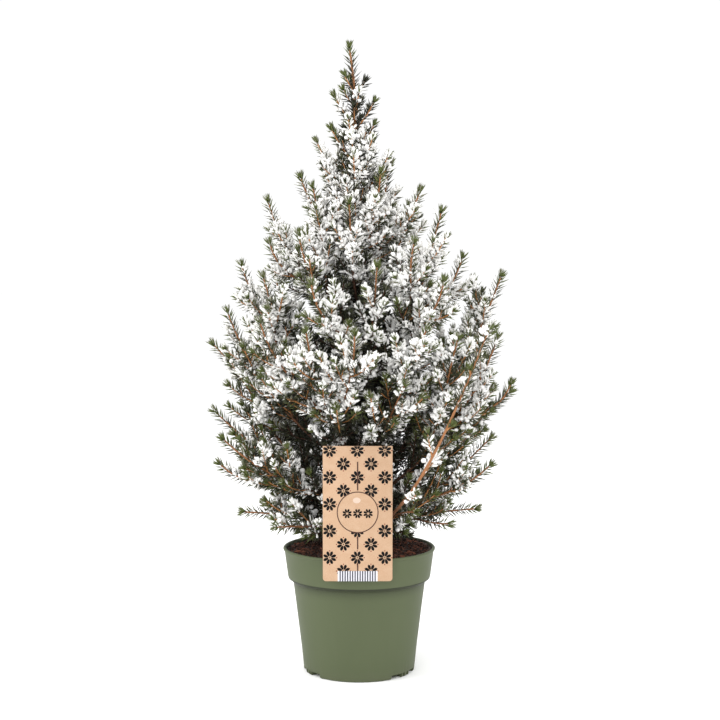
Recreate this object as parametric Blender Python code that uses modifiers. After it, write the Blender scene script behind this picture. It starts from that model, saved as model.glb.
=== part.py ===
"""Potted dwarf white spruce: pot, compost, label, trunk, boughs and masses of needles.

Metres, +Z up. The origin is the middle of the pot's flat underside.
Azimuths are turned about +Z from +X, and the label stands on the -Y side.
"""

import math
import random
from dataclasses import dataclass

import bmesh
import bpy
import numpy as np
from mathutils import Matrix, Vector
from mathutils.geometry import interpolate_bezier

GAP = 0.0003
SEED = 41

# Pot: a turned shell with a deep collar, a rolled lip and a floor raised over its edge notches.
POT_HEIGHT = 0.122
LIP_RADIUS = 0.0750
LIP_HEIGHT = 0.0032
LIP_PROUD = 0.0013
COLLAR_TOP_RADIUS = LIP_RADIUS - LIP_PROUD
COLLAR_FOOT_RADIUS = 0.0704
COLLAR_FOOT_Z = 0.0937
BODY_TOP_RADIUS = 0.0651
BODY_TOP_Z = 0.0889
BASE_RADIUS = 0.0541
POT_WALL = 0.0016
FLOOR_THICKNESS = 0.0020
STEP_THICKNESS = 0.0060
STEP_INNER_RADIUS = 0.0410
EDGE_SOFTNESS = 0.0012
POT_SEGMENTS = 40

# Drains through the foot of the wall: in each group two slots between two wider mouths.
DRAIN_GROUPS = 3
DRAIN_FIRST_AZIMUTH = -34.6
DRAIN_HEIGHT = 0.0040
DRAIN_DEPTH = 0.0080
MOUTH_WIDTH = 0.0140
MOUTH_OFFSET = 13.5
SLOT_WIDTH = 0.0030
SLOT_OFFSETS = (-3.2, 3.2)

# Compost: a low mound, flat where the trunk stands.
SOIL_CROWN_Z = 0.1215
SOIL_EDGE_Z = 0.1190
SOIL_FLAT_RADIUS = 0.0120
SOIL_CLEARANCE = 0.00045

# Label: a card before the lip, on a hook that rides over it.
CARD_WIDTH = 0.0652
CARD_BOTTOM_Z = 0.1024
CARD_TOP_Z = 0.2296
CARD_THICKNESS = 0.0008
CARD_X = -0.0014
CARD_CORNER = 0.0030
CORNER_STEPS = 3
CARD_Y = -LIP_RADIUS - GAP - CARD_THICKNESS / 2
HOOK_WIDTH = 0.0120
HOOK_THICKNESS = 0.0012
HOOK_DROP = 0.0026

# Trunk: height above the compost and radius, foot first.
TRUNK_TOP_Z = 0.608
TRUNK_RADII = (
    (0.000, 0.0088),
    (0.005, 0.0070),
    (0.014, 0.0060),
    (0.060, 0.0053),
    (0.150, 0.0043),
    (0.250, 0.0036),
    (0.350, 0.0029),
    (0.420, 0.0018),
    (0.490, 0.0008),
)
TRUNK_LEAN = 0.0030
TRUNK_SWAY = 0.0022
SWAY_X_TURNS = 0.80
SWAY_Y_TURNS = 0.55
TIP_HOOK = 0.0040
TIP_HOOK_FROM = 0.93
TRUNK_STEP = 0.030
FLARE_STATIONS = 3
TRUNK_BEVEL = 2
TRUNK_SIDES = 4 + 2 * TRUNK_BEVEL
CLEARANCE_OVERRUN = 0.020

# Crown: how far its shoots reach from the axis at each height.
CROWN_REACH = (
    (0.130, 0.086),
    (0.155, 0.118),
    (0.205, 0.138),
    (0.260, 0.150),
    (0.300, 0.156),
    (0.345, 0.150),
    (0.395, 0.137),
    (0.430, 0.106),
    (0.470, 0.078),
    (0.500, 0.050),
    (0.540, 0.034),
    (0.575, 0.022),
    (0.617, 0.004),
)

# Limbs: each is one curve from the trunk's axis, bare at first and then a mass's stem.
BOUGH_FOOT_RADIUS = 0.0026
BOUGH_END_RADIUS = 0.0016
FORK_RADIUS = 0.0013
FORK_BARE_FOOT = 0.0250
BOUGH_BARE_SHARE = 0.22
BOUGH_STEP = 0.0120
BOUGH_BEVEL = 1
LIMB_POINTS = 28
LEAVE_HANDLE = 0.36
ARRIVE_HANDLE = 0.38
STEM_TIP_RADIUS = 0.0009

# Shoots round a stem: none on its young tip, and each shortened until it stays in the crown.
SHOOT_POINTS = 8
SUNK_POINTS = 2
SHOOT_RADIUS = 0.0011
SHOOT_TIP_RADIUS = 0.0008
SHOOT_SPACING = 0.0290
SHOOT_FOOT_SHARE = 0.3
SHOOT_LENGTH = 0.060
SHOOT_TAPER = 0.50
SHOOT_ANGLE = 42.0
SHOOT_RISE = 0.70
LEAST_RISE = -0.05
GOLDEN_ANGLE = 137.5
ROLL_JITTER = 12.0
ANGLE_JITTER = 6.0
LENGTH_JITTER = 0.15
YOUNG_TIP = 0.040
SHOOT_REACH_SHARE = 0.92
SHORTENING = 0.82
SHORTENINGS = 6

# Needles, each larger than life and standing for a tuft, and the room that twigs and needles keep.
NEEDLE_PITCH = 0.0198
NEEDLE_OUT = 0.0112
NEEDLE_FORWARD = 0.0080
TIP_NEEDLE = 0.0070
TIP_LEAN = 1.5
KEEP_APART = 0.0010
TWIG_CLEARANCE = 0.0040
SAMPLE_STEP = 0.0025


@dataclass(frozen=True)
class Tier:
    """How the limbs of one tier leave the trunk and point at their tips, in degrees above level."""

    leave: float
    arrive: float
    shoots: float


@dataclass(frozen=True)
class Limb:
    """One limb: its tier, azimuth, foot and tip heights, and share of the crown's reach."""

    tier: str
    azimuth: float
    foot_z: float
    tip_z: float
    share: float


@dataclass(frozen=True)
class Fork:
    """A second spire of a limb: where it leaves, its azimuth, tip height and share of reach."""

    limb: str
    at: float
    azimuth: float
    tip_z: float
    share: float


TIERS = {
    "skirt": Tier(leave=14.0, arrive=4.0, shoots=0.90),
    "lower": Tier(leave=24.0, arrive=44.0, shoots=1.00),
    "middle": Tier(leave=34.0, arrive=70.0, shoots=1.00),
    "upper": Tier(leave=38.0, arrive=73.0, shoots=0.80),
    "inner": Tier(leave=30.0, arrive=78.0, shoots=0.75),
}

# Limbs on a bare bough of their own.
BOUGH_LIMBS = (
    Limb("skirt", -3, 0.140, 0.160, 1.00),
    Limb("skirt", -56, 0.133, 0.168, 0.80),
    Limb("skirt", -140, 0.136, 0.152, 0.94),
    Limb("skirt", 183, 0.142, 0.157, 1.00),
    Limb("skirt", 122, 0.134, 0.158, 0.98),
    Limb("skirt", 60, 0.137, 0.160, 1.00),
    Limb("lower", -22, 0.150, 0.212, 0.99),
    Limb("lower", 9, 0.168, 0.277, 1.03),
    Limb("lower", -68, 0.205, 0.292, 0.74),
    Limb("lower", -155, 0.159, 0.238, 1.00),
    Limb("lower", 177, 0.167, 0.258, 0.98),
    Limb("lower", 153, 0.1475, 0.205, 1.00),
    Limb("lower", 88, 0.156, 0.236, 0.94),
    Limb("middle", -8, 0.184, 0.393, 1.02),
    Limb("middle", 34, 0.177, 0.325, 0.98),
    Limb("middle", -114, 0.200, 0.342, 0.80),
    Limb("middle", 189, 0.194, 0.358, 0.89),
    Limb("middle", 144, 0.1745, 0.322, 1.00),
    Limb("middle", 108, 0.196, 0.352, 0.88),
    Limb("middle", -19, 0.160, 0.334, 0.93),
)

# Limbs whose mass starts at the trunk itself.
TRUNK_LIMBS = (
    Limb("upper", 168, 0.262, 0.404, 0.94),
    Limb("upper", 66, 0.250, 0.392, 0.86),
    Limb("upper", 4, 0.300, 0.411, 0.84),
    Limb("upper", -78, 0.268, 0.402, 0.62),
    Limb("upper", -24, 0.272, 0.454, 0.98),
    Limb("upper", 182, 0.338, 0.466, 1.12),
    Limb("upper", -134, 0.310, 0.432, 0.80),
    Limb("upper", 98, 0.322, 0.440, 0.84),
    Limb("upper", 44, 0.360, 0.464, 0.86),
    Limb("upper", -4, 0.398, 0.476, 0.84),
    Limb("upper", 172, 0.408, 0.490, 1.00),
    Limb("upper", 128, 0.376, 0.468, 0.80),
    Limb("inner", -102, 0.356, 0.462, 0.55),
    Limb("inner", -58, 0.405, 0.492, 0.70),
)

# Spires that leave a limb's stem and belong to its mass.
FORKS = (
    Fork("skirt_01", 0.34, -32, 0.153, 0.92),
    Fork("skirt_05", 0.34, 152, 0.156, 0.96),
    Fork("lower_01", 0.40, 2, 0.232, 0.93),
    Fork("lower_02", 0.36, 27, 0.237, 0.97),
    Fork("lower_04", 0.32, 194, 0.211, 1.02),
    Fork("lower_05", 0.30, 171, 0.324, 0.99),
    Fork("lower_07", 0.30, 70, 0.312, 0.90),
    Fork("lower_03", 0.36, -58, 0.342, 0.80),
    Fork("middle_07", 0.34, -45, 0.335, 0.86),
    Fork("middle_07", 0.52, -14, 0.290, 0.98),
    Fork("middle_03", 0.30, -92, 0.340, 0.80),
    Fork("middle_03", 0.34, -138, 0.350, 0.84),
    Fork("middle_05", 0.38, 126, 0.300, 0.86),
    Fork("middle_06", 0.36, 52, 0.330, 0.68),
    Fork("middle_02", 0.42, 20, 0.372, 0.88),
    Fork("middle_04", 0.40, -152, 0.392, 0.76),
    Fork("upper_05", 0.26, -50, 0.388, 0.88),
    Fork("upper_05", 0.42, -52, 0.424, 0.76),
    Fork("upper_04", 0.30, -112, 0.386, 0.84),
    Fork("upper_04", 0.44, -124, 0.380, 0.56),
    Fork("upper_01", 0.30, 142, 0.396, 0.82),
    Fork("upper_06", 0.24, 202, 0.424, 0.84),
    Fork("upper_12", 0.30, 112, 0.508, 0.72),
    Fork("upper_07", 0.30, -152, 0.478, 0.74),
    Fork("upper_09", 0.30, 26, 0.504, 0.74),
)

LEADER_BOTTOM_Z = 0.448
LEADER_CORE_WALL = 0.0016
LEADER_CORE_SIDES = 6
LEADER_SHOOT_LIFT = 46.0

# Shoots round the leader: azimuth, foot height and length.
LEADER_SHOOTS = (
    (183, 0.463, 0.066),
    (-5, 0.460, 0.054),
    (-95, 0.466, 0.046),
    (80, 0.472, 0.050),
    (-50, 0.484, 0.043),
    (130, 0.490, 0.042),
    (192, 0.497, 0.040),
    (30, 0.506, 0.036),
    (-110, 0.512, 0.032),
    (90, 0.520, 0.032),
    (-2, 0.530, 0.032),
    (178, 0.535, 0.033),
    (-70, 0.546, 0.022),
    (95, 0.552, 0.022),
    (12, 0.562, 0.018),
    (200, 0.568, 0.016),
    (-80, 0.578, 0.013),
)


def clear_scene():
    """Remove what the file holds."""
    for item in list(bpy.data.objects):
        bpy.data.objects.remove(item, do_unlink=True)


def collection(name):
    """Return a new collection in the scene."""
    made = bpy.data.collections.new(name)
    bpy.context.scene.collection.children.link(made)
    return made


def material(name, colour, roughness, metallic=0.0):
    """Return a Principled material."""
    made = bpy.data.materials.new(name)
    made.use_nodes = True
    shader = made.node_tree.nodes["Principled BSDF"]
    shader.inputs["Base Color"].default_value = (*colour, 1.0)
    shader.inputs["Roughness"].default_value = roughness
    shader.inputs["Metallic"].default_value = metallic
    return made


def add_object(name, data, group, finish=None):
    """Link a mesh or curve as an object."""
    made = bpy.data.objects.new(name, data)
    group.objects.link(made)
    if finish is not None:
        data.materials.append(finish)
    return made


def mark_cutter(item):
    """Keep a cutter out of the model."""
    item.hide_render = True
    item.display_type = "WIRE"


def applied(item):
    """Replace an object by the mesh that its modifiers give."""
    graph = bpy.context.evaluated_depsgraph_get()
    mesh = bpy.data.meshes.new_from_object(item.evaluated_get(graph), depsgraph=graph)
    item.modifiers.clear()
    item.data = mesh
    return item


def smooth(mesh, angle=40.0):
    """Shade a mesh smooth between its sharp edges."""
    mesh.shade_smooth()
    mesh.set_sharp_from_angle(angle=math.radians(angle))


def boolean(item, name, operation, cutter=None, group=None):
    """Add an exact Boolean with one object or a collection."""
    made = item.modifiers.new(name, "BOOLEAN")
    made.operation = operation
    made.solver = "EXACT"
    if group is None:
        made.object = cutter
    else:
        made.operand_type = "COLLECTION"
        made.collection = group
    return made


def graded(table, at):
    """Read a table of rising stations and values at one station."""
    stations, values = zip(*table)
    return float(np.interp(at, stations, values))


def turned(name, outline, group, finish):
    """Turn a closed outline of radius and height points about Z."""
    bm = bmesh.new()
    points = [bm.verts.new((radius, 0.0, height)) for radius, height in outline]
    for first, second in zip(points, points[1:]):
        bm.edges.new((first, second))
    if outline[0][0] > 0.0 or outline[-1][0] > 0.0:
        bm.edges.new((points[-1], points[0]))
    mesh = bpy.data.meshes.new(name)
    bm.to_mesh(mesh)
    bm.free()
    made = add_object(name, mesh, group, finish)
    screw = made.modifiers.new("turn", "SCREW")
    screw.axis = "Z"
    screw.steps = POT_SEGMENTS
    screw.render_steps = POT_SEGMENTS
    screw.use_merge_vertices = True
    screw.merge_threshold = 0.00001
    screw.use_normal_calculate = True
    return made


def inner_radius(height):
    """Return the pot's inside radius at a height."""
    outside = (
        (0.0, BASE_RADIUS),
        (BODY_TOP_Z, BODY_TOP_RADIUS),
        (COLLAR_FOOT_Z, COLLAR_FOOT_RADIUS),
        (POT_HEIGHT, COLLAR_TOP_RADIUS),
    )
    return graded(outside, height) - POT_WALL


def pot_outline():
    """Return the pot's wall and floor, outside first and top to bottom."""
    lip_foot = POT_HEIGHT - LIP_HEIGHT
    soft = EDGE_SOFTNESS
    return (
        (LIP_RADIUS - soft, POT_HEIGHT),
        (LIP_RADIUS, POT_HEIGHT - soft),
        (LIP_RADIUS, lip_foot + soft / 2),
        (COLLAR_TOP_RADIUS, lip_foot),
        (COLLAR_FOOT_RADIUS, COLLAR_FOOT_Z),
        (COLLAR_FOOT_RADIUS - soft, COLLAR_FOOT_Z - 2 * soft),
        (BODY_TOP_RADIUS + soft, BODY_TOP_Z),
        (BODY_TOP_RADIUS, BODY_TOP_Z - soft),
        (BASE_RADIUS + soft / 2, soft),
        (BASE_RADIUS - soft / 2, 0.0),
        (0.0, 0.0),
        (0.0, FLOOR_THICKNESS),
        (STEP_INNER_RADIUS, FLOOR_THICKNESS),
        (STEP_INNER_RADIUS, STEP_THICKNESS),
        (inner_radius(STEP_THICKNESS), STEP_THICKNESS),
        (inner_radius(BODY_TOP_Z), BODY_TOP_Z),
        (inner_radius(COLLAR_FOOT_Z), COLLAR_FOOT_Z),
        (inner_radius(POT_HEIGHT), POT_HEIGHT),
    )


def drain_cutter(name, azimuth, width, group):
    """Add a box that cuts an opening of one width into the foot of the wall."""
    bm = bmesh.new()
    bmesh.ops.create_cube(bm, size=1.0)
    size = Matrix.Diagonal((DRAIN_DEPTH * 2, width, DRAIN_HEIGHT * 2, 1.0))
    turn = Matrix.Rotation(math.radians(azimuth), 4, "Z")
    place = turn @ Matrix.Translation((BASE_RADIUS, 0.0, 0.0))
    bmesh.ops.transform(bm, matrix=place @ size, verts=bm.verts)
    mesh = bpy.data.meshes.new(name)
    bm.to_mesh(mesh)
    bm.free()
    mark_cutter(add_object(name, mesh, group))


def make_pot(group, cutters, finish):
    """Make the pot with its drains."""
    pot = turned("pot", pot_outline(), group, finish)
    drains = bpy.data.collections.new("drains")
    cutters.children.link(drains)
    openings = [(side * MOUTH_OFFSET, MOUTH_WIDTH) for side in (-1, 1)]
    openings += [(offset, SLOT_WIDTH) for offset in SLOT_OFFSETS]
    for index in range(DRAIN_GROUPS):
        azimuth = DRAIN_FIRST_AZIMUTH + index * 360.0 / DRAIN_GROUPS
        for number, (offset, width) in enumerate(openings):
            drain_cutter(f"drain_{index + 1}_{number + 1}", azimuth + offset, width, drains)
    boolean(pot, "drains", "DIFFERENCE", group=drains)
    smooth(applied(pot).data)


def make_soil(group, finish):
    """Make the compost, clear of the pot's inside."""
    step = STEP_INNER_RADIUS - SOIL_CLEARANCE
    wall = [(inner_radius(z) - SOIL_CLEARANCE, z) for z in (SOIL_EDGE_Z, COLLAR_FOOT_Z, BODY_TOP_Z)]
    outline = (
        (0.0, SOIL_CROWN_Z),
        (SOIL_FLAT_RADIUS, SOIL_CROWN_Z),
        *wall,
        (inner_radius(STEP_THICKNESS) - SOIL_CLEARANCE, STEP_THICKNESS + GAP),
        (step, STEP_THICKNESS + GAP),
        (step, FLOOR_THICKNESS + GAP),
        (0.0, FLOOR_THICKNESS + GAP),
    )
    smooth(applied(turned("soil", outline, group, finish)).data)


def plate(name, outline, thickness):
    """Return a flat outline filled and extruded to a thickness."""
    curve = bpy.data.curves.new(name, "CURVE")
    curve.dimensions = "2D"
    curve.fill_mode = "BOTH"
    curve.extrude = thickness / 2
    spline = curve.splines.new("POLY")
    spline.points.add(len(outline) - 1)
    for point, (x, z) in zip(spline.points, outline):
        point.co = (x, z, 0.0, 1.0)
    spline.use_cyclic_u = True
    return curve


def card_outline():
    """Return the card's outline: sharp at the top, rounded at the foot."""
    half = CARD_WIDTH / 2
    outline = [(CARD_X + half, CARD_TOP_Z), (CARD_X - half, CARD_TOP_Z)]
    for side, first in ((-1, 180), (1, 270)):
        centre = Vector((CARD_X + side * (half - CARD_CORNER), CARD_BOTTOM_Z + CARD_CORNER))
        for step in range(CORNER_STEPS + 1):
            angle = math.radians(first + 90 * step / CORNER_STEPS)
            outline.append(tuple(centre + Vector((math.cos(angle), math.sin(angle))) * CARD_CORNER))
    return outline


def mesh_of_curve(name, curve, place):
    """Turn a curve into a placed, closed mesh."""
    source = bpy.data.objects.new(name, curve)
    bpy.context.scene.collection.objects.link(source)
    graph = bpy.context.evaluated_depsgraph_get()
    mesh = bpy.data.meshes.new_from_object(source.evaluated_get(graph), depsgraph=graph)
    bpy.data.objects.remove(source)
    bpy.data.curves.remove(curve)
    bm = bmesh.new()
    bm.from_mesh(mesh)
    bmesh.ops.remove_doubles(bm, verts=bm.verts, dist=0.00001)
    bmesh.ops.transform(bm, matrix=place, verts=bm.verts)
    bmesh.ops.recalc_face_normals(bm, faces=bm.faces)
    bm.to_mesh(mesh)
    bm.free()
    return mesh


def hook_outline():
    """Return the hook's side view as distance behind the card's face and height."""
    front = CARD_Y
    seat = POT_HEIGHT + GAP
    crest = seat + HOOK_THICKNESS
    toe = POT_HEIGHT - HOOK_DROP
    flat_of_facet = inner_radius(toe) * math.cos(math.pi / POT_SEGMENTS)
    inside = -math.sqrt(flat_of_facet ** 2 - (HOOK_WIDTH / 2) ** 2) + GAP
    return (
        (front, crest + HOOK_THICKNESS),
        (front, seat),
        (inside, seat),
        (inside, toe),
        (inside + HOOK_THICKNESS, toe),
        (inside + HOOK_THICKNESS, crest),
        (front + 2 * HOOK_THICKNESS, crest),
    )


def make_label(group, cutters, finish):
    """Make the card with the hook that hangs it on the lip."""
    upright = Matrix.Rotation(math.radians(90), 4, "X")
    facing_front = Matrix.Translation((0.0, CARD_Y, 0.0)) @ upright
    side_on = Matrix.Translation((CARD_X, 0.0, 0.0)) @ Matrix.Rotation(math.radians(90), 4, "Z") @ upright
    card_mesh = mesh_of_curve("label", plate("label", card_outline(), CARD_THICKNESS), facing_front)
    card = add_object("label", card_mesh, group, finish)
    hook_mesh = mesh_of_curve("hook", plate("hook", hook_outline(), HOOK_WIDTH), side_on)
    hook = add_object("hook", hook_mesh, cutters)
    mark_cutter(hook)
    boolean(card, "hook", "UNION", cutter=hook)
    applied(card)
    bpy.data.objects.remove(hook)


def trunk_axis(height):
    """Return the trunk's centre at a height: a slight lean with one slow bend and a nodding tip."""
    share = (height - SOIL_CROWN_Z) / (TRUNK_TOP_Z - SOIL_CROWN_Z)
    x = -TRUNK_LEAN * share + TRUNK_SWAY * math.sin(math.tau * SWAY_X_TURNS * share)
    x -= TIP_HOOK * max(0.0, share - TIP_HOOK_FROM) / (1.0 - TIP_HOOK_FROM)
    y = TRUNK_SWAY * math.sin(math.tau * SWAY_Y_TURNS * share)
    return Vector((x, y, height))


def trunk_stations():
    """Return heights up the trunk, close together in its flare."""
    heights = [SOIL_CROWN_Z + GAP + rise for rise, _ in TRUNK_RADII[:FLARE_STATIONS]]
    flare_top = heights[-1]
    count = math.ceil((TRUNK_TOP_Z - flare_top) / TRUNK_STEP)
    return heights + [flare_top + (TRUNK_TOP_Z - flare_top) * (step + 1) / count for step in range(count)]


def trunk_radius(height):
    """Return the trunk's radius at a height."""
    return graded(TRUNK_RADII, height - SOIL_CROWN_Z - GAP)


def tube(name, points, radii, bevel):
    """Sweep a round section of changing radius along a line, with closed ends."""
    curve = bpy.data.curves.new(name, "CURVE")
    curve.dimensions = "3D"
    curve.bevel_depth = 1.0
    curve.bevel_resolution = bevel
    curve.use_fill_caps = True
    spline = curve.splines.new("POLY")
    spline.points.add(len(points) - 1)
    for knot, place, radius in zip(spline.points, points, radii):
        knot.co = (*place, 1.0)
        knot.radius = radius
    return mesh_of_curve(name, curve, Matrix.Identity(4))


def make_trunk(group, cutters, finish):
    """Make the trunk and the slightly thicker cutter that clears the limbs from it."""
    heights = trunk_stations()
    radii = [trunk_radius(height) for height in heights]
    mesh = tube("trunk", [trunk_axis(height) for height in heights], radii, TRUNK_BEVEL)
    smooth(mesh)
    add_object("trunk", mesh, group, finish)
    heights.append(TRUNK_TOP_Z + CLEARANCE_OVERRUN)
    wider = [radius + GAP / math.cos(math.pi / TRUNK_SIDES) for radius in radii + radii[-1:]]
    clearance = tube("trunk_clearance", [trunk_axis(height) for height in heights], wider, TRUNK_BEVEL)
    cutter = add_object("trunk_clearance", clearance, cutters)
    mark_cutter(cutter)
    return cutter


def heading(azimuth, lift):
    """Return the unit vector at an azimuth and an angle above level."""
    turn = math.radians(azimuth)
    rise = math.radians(lift)
    return Vector((math.cos(turn) * math.cos(rise), math.sin(turn) * math.cos(rise), math.sin(rise)))


def evenly(points, step):
    """Return a line again with stations an even step apart, its ends kept."""
    flat = np.array([tuple(point) for point in points])
    lengths = np.concatenate(([0.0], np.cumsum(np.linalg.norm(np.diff(flat, axis=0), axis=1))))
    count = max(2, round(lengths[-1] / step) + 1)
    marks = np.linspace(0.0, lengths[-1], count)
    return [Vector([float(np.interp(mark, lengths, flat[:, axis])) for axis in range(3)]) for mark in marks]


def spire_line(foot, along, tier, spire):
    """Return the points of a limb, or of a fork off a stem that runs along, from its foot to its tip."""
    outline = heading(spire.azimuth, 0.0) * spire.share * graded(CROWN_REACH, spire.tip_z)
    arriving = heading(spire.azimuth, tier.arrive)
    tip = outline + Vector((0.0, 0.0, spire.tip_z)) - arriving * TIP_NEEDLE
    leaving = heading(spire.azimuth, tier.leave)
    if along is not None:
        leaving = (along + (tip - foot).normalized()).normalized()
    span = (tip - foot).length
    first = foot + leaving * span * LEAVE_HANDLE
    second = tip - arriving * span * ARRIVE_HANDLE
    return evenly(interpolate_bezier(foot, first, second, tip, LIMB_POINTS), SAMPLE_STEP)


def limb_line(limb):
    """Return the points of a limb from the trunk's axis to its furthest tip."""
    return spire_line(trunk_axis(limb.foot_z), None, TIERS[limb.tier], limb)


def fork_line(fork, limb):
    """Return the points of a fork from its limb's stem to its furthest tip."""
    line = limb_line(limb)
    foot = round((len(line) - 1) * fork.at)
    along = (line[foot + 1] - line[foot]).normalized()
    return spire_line(line[foot], along, TIERS[limb.tier], fork)


@dataclass
class Twig:
    """A twig of one mass: its line, the radii along it, its turn about it and its number of sides."""

    mass: str
    line: list
    radii: tuple
    roll: float
    bare_foot: float = 0.0
    sides: int = 3
    pointed: bool = True


class Space:
    """What fills the crown: points along every limb and twig, with owner and thickness."""

    def __init__(self):
        self.points = np.empty((0, 3))
        self.radii = np.empty(0)
        self.owners = np.empty(0, dtype=object)

    def add(self, owner, line, radii):
        """Enter a line that thins from its foot radius to its tip radius."""
        stations = evenly(line, SAMPLE_STEP)
        self.points = np.vstack((self.points, [tuple(point) for point in stations]))
        self.radii = np.concatenate((self.radii, np.linspace(*radii, len(stations))))
        self.owners = np.concatenate((self.owners, [owner] * len(stations)))

    def reach(self, owner, point):
        """Return how far a point is from its owner and from everything else."""
        away = np.linalg.norm(self.points - np.array(tuple(point)), axis=1) - self.radii
        own = self.owners == owner
        nearest_own = away[own].min() if own.any() else math.inf
        nearest_other = away[~own].min() if (~own).any() else math.inf
        return nearest_own, nearest_other

    def has_room(self, owner, line):
        """Tell whether a twig's line keeps its clearance from everything else."""
        return all(
            self.reach(owner, point)[1] > TWIG_CLEARANCE and free_of_pot(point, TWIG_CLEARANCE)
            for point in evenly(line, SAMPLE_STEP * 2)
        )

    def keeps(self, owner, point):
        """Tell whether a needle's point stays in its mass's own space."""
        own, other = self.reach(owner, point)
        return other > own + KEEP_APART and free_of_pot(point, KEEP_APART)


def free_of_pot(point, margin):
    """Tell whether a point is clear of the pot, the compost and the label."""
    above_pot = point.z > POT_HEIGHT + margin or math.hypot(point.x, point.y) > LIP_RADIUS + margin
    beside_card = abs(point.x - CARD_X) > CARD_WIDTH / 2 + margin or point.z > CARD_TOP_Z + margin
    before_card = abs(point.y + LIP_RADIUS) > 2 * HOOK_THICKNESS + margin
    return above_pot and (beside_card or before_card)


def bent_line(foot, direction, length):
    """Return a short line that leaves in one direction and turns upwards."""
    ending = (direction + Vector((0.0, 0.0, SHOOT_RISE))).normalized()
    tip = foot + (direction + ending).normalized() * length
    handle = length / 3
    return interpolate_bezier(foot, foot + direction * handle, tip - ending * handle, tip, SHOOT_POINTS)


def side_direction(along, roll, angle):
    """Return the direction at an angle to a stem, turned about it."""
    across = along.orthogonal().normalized()
    across.rotate(Matrix.Rotation(roll, 3, along))
    direction = along * math.cos(angle) + across * math.sin(angle)
    return Vector((direction.x, direction.y, max(direction.z, LEAST_RISE))).normalized()


def line_in_reach(foot, direction, length):
    """Return a bent line, shortened until its tip is inside the crown's outline."""
    line = bent_line(foot, direction, length)
    for _ in range(SHORTENINGS):
        limit = graded(CROWN_REACH, line[-1].z) * SHOOT_REACH_SHARE - TIP_NEEDLE
        if math.hypot(line[-1].x, line[-1].y) < limit:
            break
        length *= SHORTENING
        line = bent_line(foot, direction, length)
    return line


def line_length(line):
    """Return a line's length."""
    return sum((after - point).length for point, after in zip(line, line[1:]))


def new_shoot(mass, line, roll):
    """Return a side shoot, bare where it is sunk in its stem."""
    return Twig(mass, line, (SHOOT_RADIUS, SHOOT_TIP_RADIUS), roll, bare_foot=NEEDLE_PITCH * 0.6)


def side_shoots(mass, stem, scale, dice):
    """Return shoots round a stem, a golden angle apart and shorter towards its tip."""
    whole = line_length(stem)
    stations = evenly(stem, SHOOT_SPACING)
    shoots = []
    roll = dice.uniform(0.0, math.tau)
    for index in range(len(stations) - 1):
        share = index / (len(stations) - 1)
        if whole * (1.0 - share) < YOUNG_TIP:
            break
        along = (stations[index + 1] - stations[index]).normalized()
        roll += math.radians(GOLDEN_ANGLE + dice.uniform(-ROLL_JITTER, ROLL_JITTER))
        angle = math.radians(SHOOT_ANGLE + dice.uniform(-ANGLE_JITTER, ANGLE_JITTER))
        length = SHOOT_LENGTH * scale * (1.0 - SHOOT_TAPER * share)
        length *= dice.uniform(1.0 - LENGTH_JITTER, 1.0 + LENGTH_JITTER)
        foot = stations[index].lerp(stations[index + 1], SHOOT_FOOT_SHARE)
        shoots.append(new_shoot(mass, line_in_reach(foot, side_direction(along, roll, angle), length), roll))
    return shoots


def leader_core(mass):
    """Return the slim core round the leader, which the trunk's clearance later opens."""
    line = [trunk_axis(height) for height in trunk_stations() if height > LEADER_BOTTOM_Z]
    radii = tuple(trunk_radius(end.z) + LEADER_CORE_WALL for end in (line[0], line[-1]))
    return Twig(mass, line, radii, 0.0, sides=LEADER_CORE_SIDES, pointed=False)


def leader_shoots(mass):
    """Return the shoots that stand out from the core round the leader."""
    shoots = []
    for azimuth, foot_z, length in LEADER_SHOOTS:
        line = bent_line(trunk_axis(foot_z), heading(azimuth, LEADER_SHOOT_LIFT), length)
        shoots.append(new_shoot(mass, line, math.radians(azimuth)))
    return shoots


def frames(points, roll):
    """Return a centre, tangent and two section axes at each point, without twist."""
    made = []
    tangent = (points[1] - points[0]).normalized()
    across = tangent.orthogonal().normalized()
    across.rotate(Matrix.Rotation(roll, 3, tangent))
    for index, point in enumerate(points):
        ahead = points[min(index + 1, len(points) - 1)]
        behind = points[max(index - 1, 0)]
        tangent = (ahead - behind).normalized()
        across = (across - tangent * across.dot(tangent)).normalized()
        made.append((point, tangent, across, tangent.cross(across)))
    return made


def extruded_twig(twig, stations):
    """Return a closed twig: a small cap extruded from station to station along its line."""
    radii = np.linspace(*twig.radii, len(stations))
    turns = [math.tau * corner / twig.sides for corner in range(twig.sides)]
    bm = bmesh.new()
    circle = bmesh.ops.create_circle(bm, cap_ends=True, segments=twig.sides, radius=1.0)
    cap = circle["verts"][0].link_faces[0]
    for index, (centre, _, across, up) in enumerate(stations):
        if index:
            extruded = bmesh.ops.extrude_face_region(bm, geom=[cap])["geom"]
            if index > 1:
                bmesh.ops.delete(bm, geom=[cap], context="FACES_ONLY")
            cap = next(item for item in extruded if isinstance(item, bmesh.types.BMFace))
        for vert, turn in zip(cap.verts, turns):
            vert.co = centre + (across * math.cos(turn) + up * math.sin(turn)) * radii[index]
    bmesh.ops.recalc_face_normals(bm, faces=bm.faces)
    return bm, cap


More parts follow.
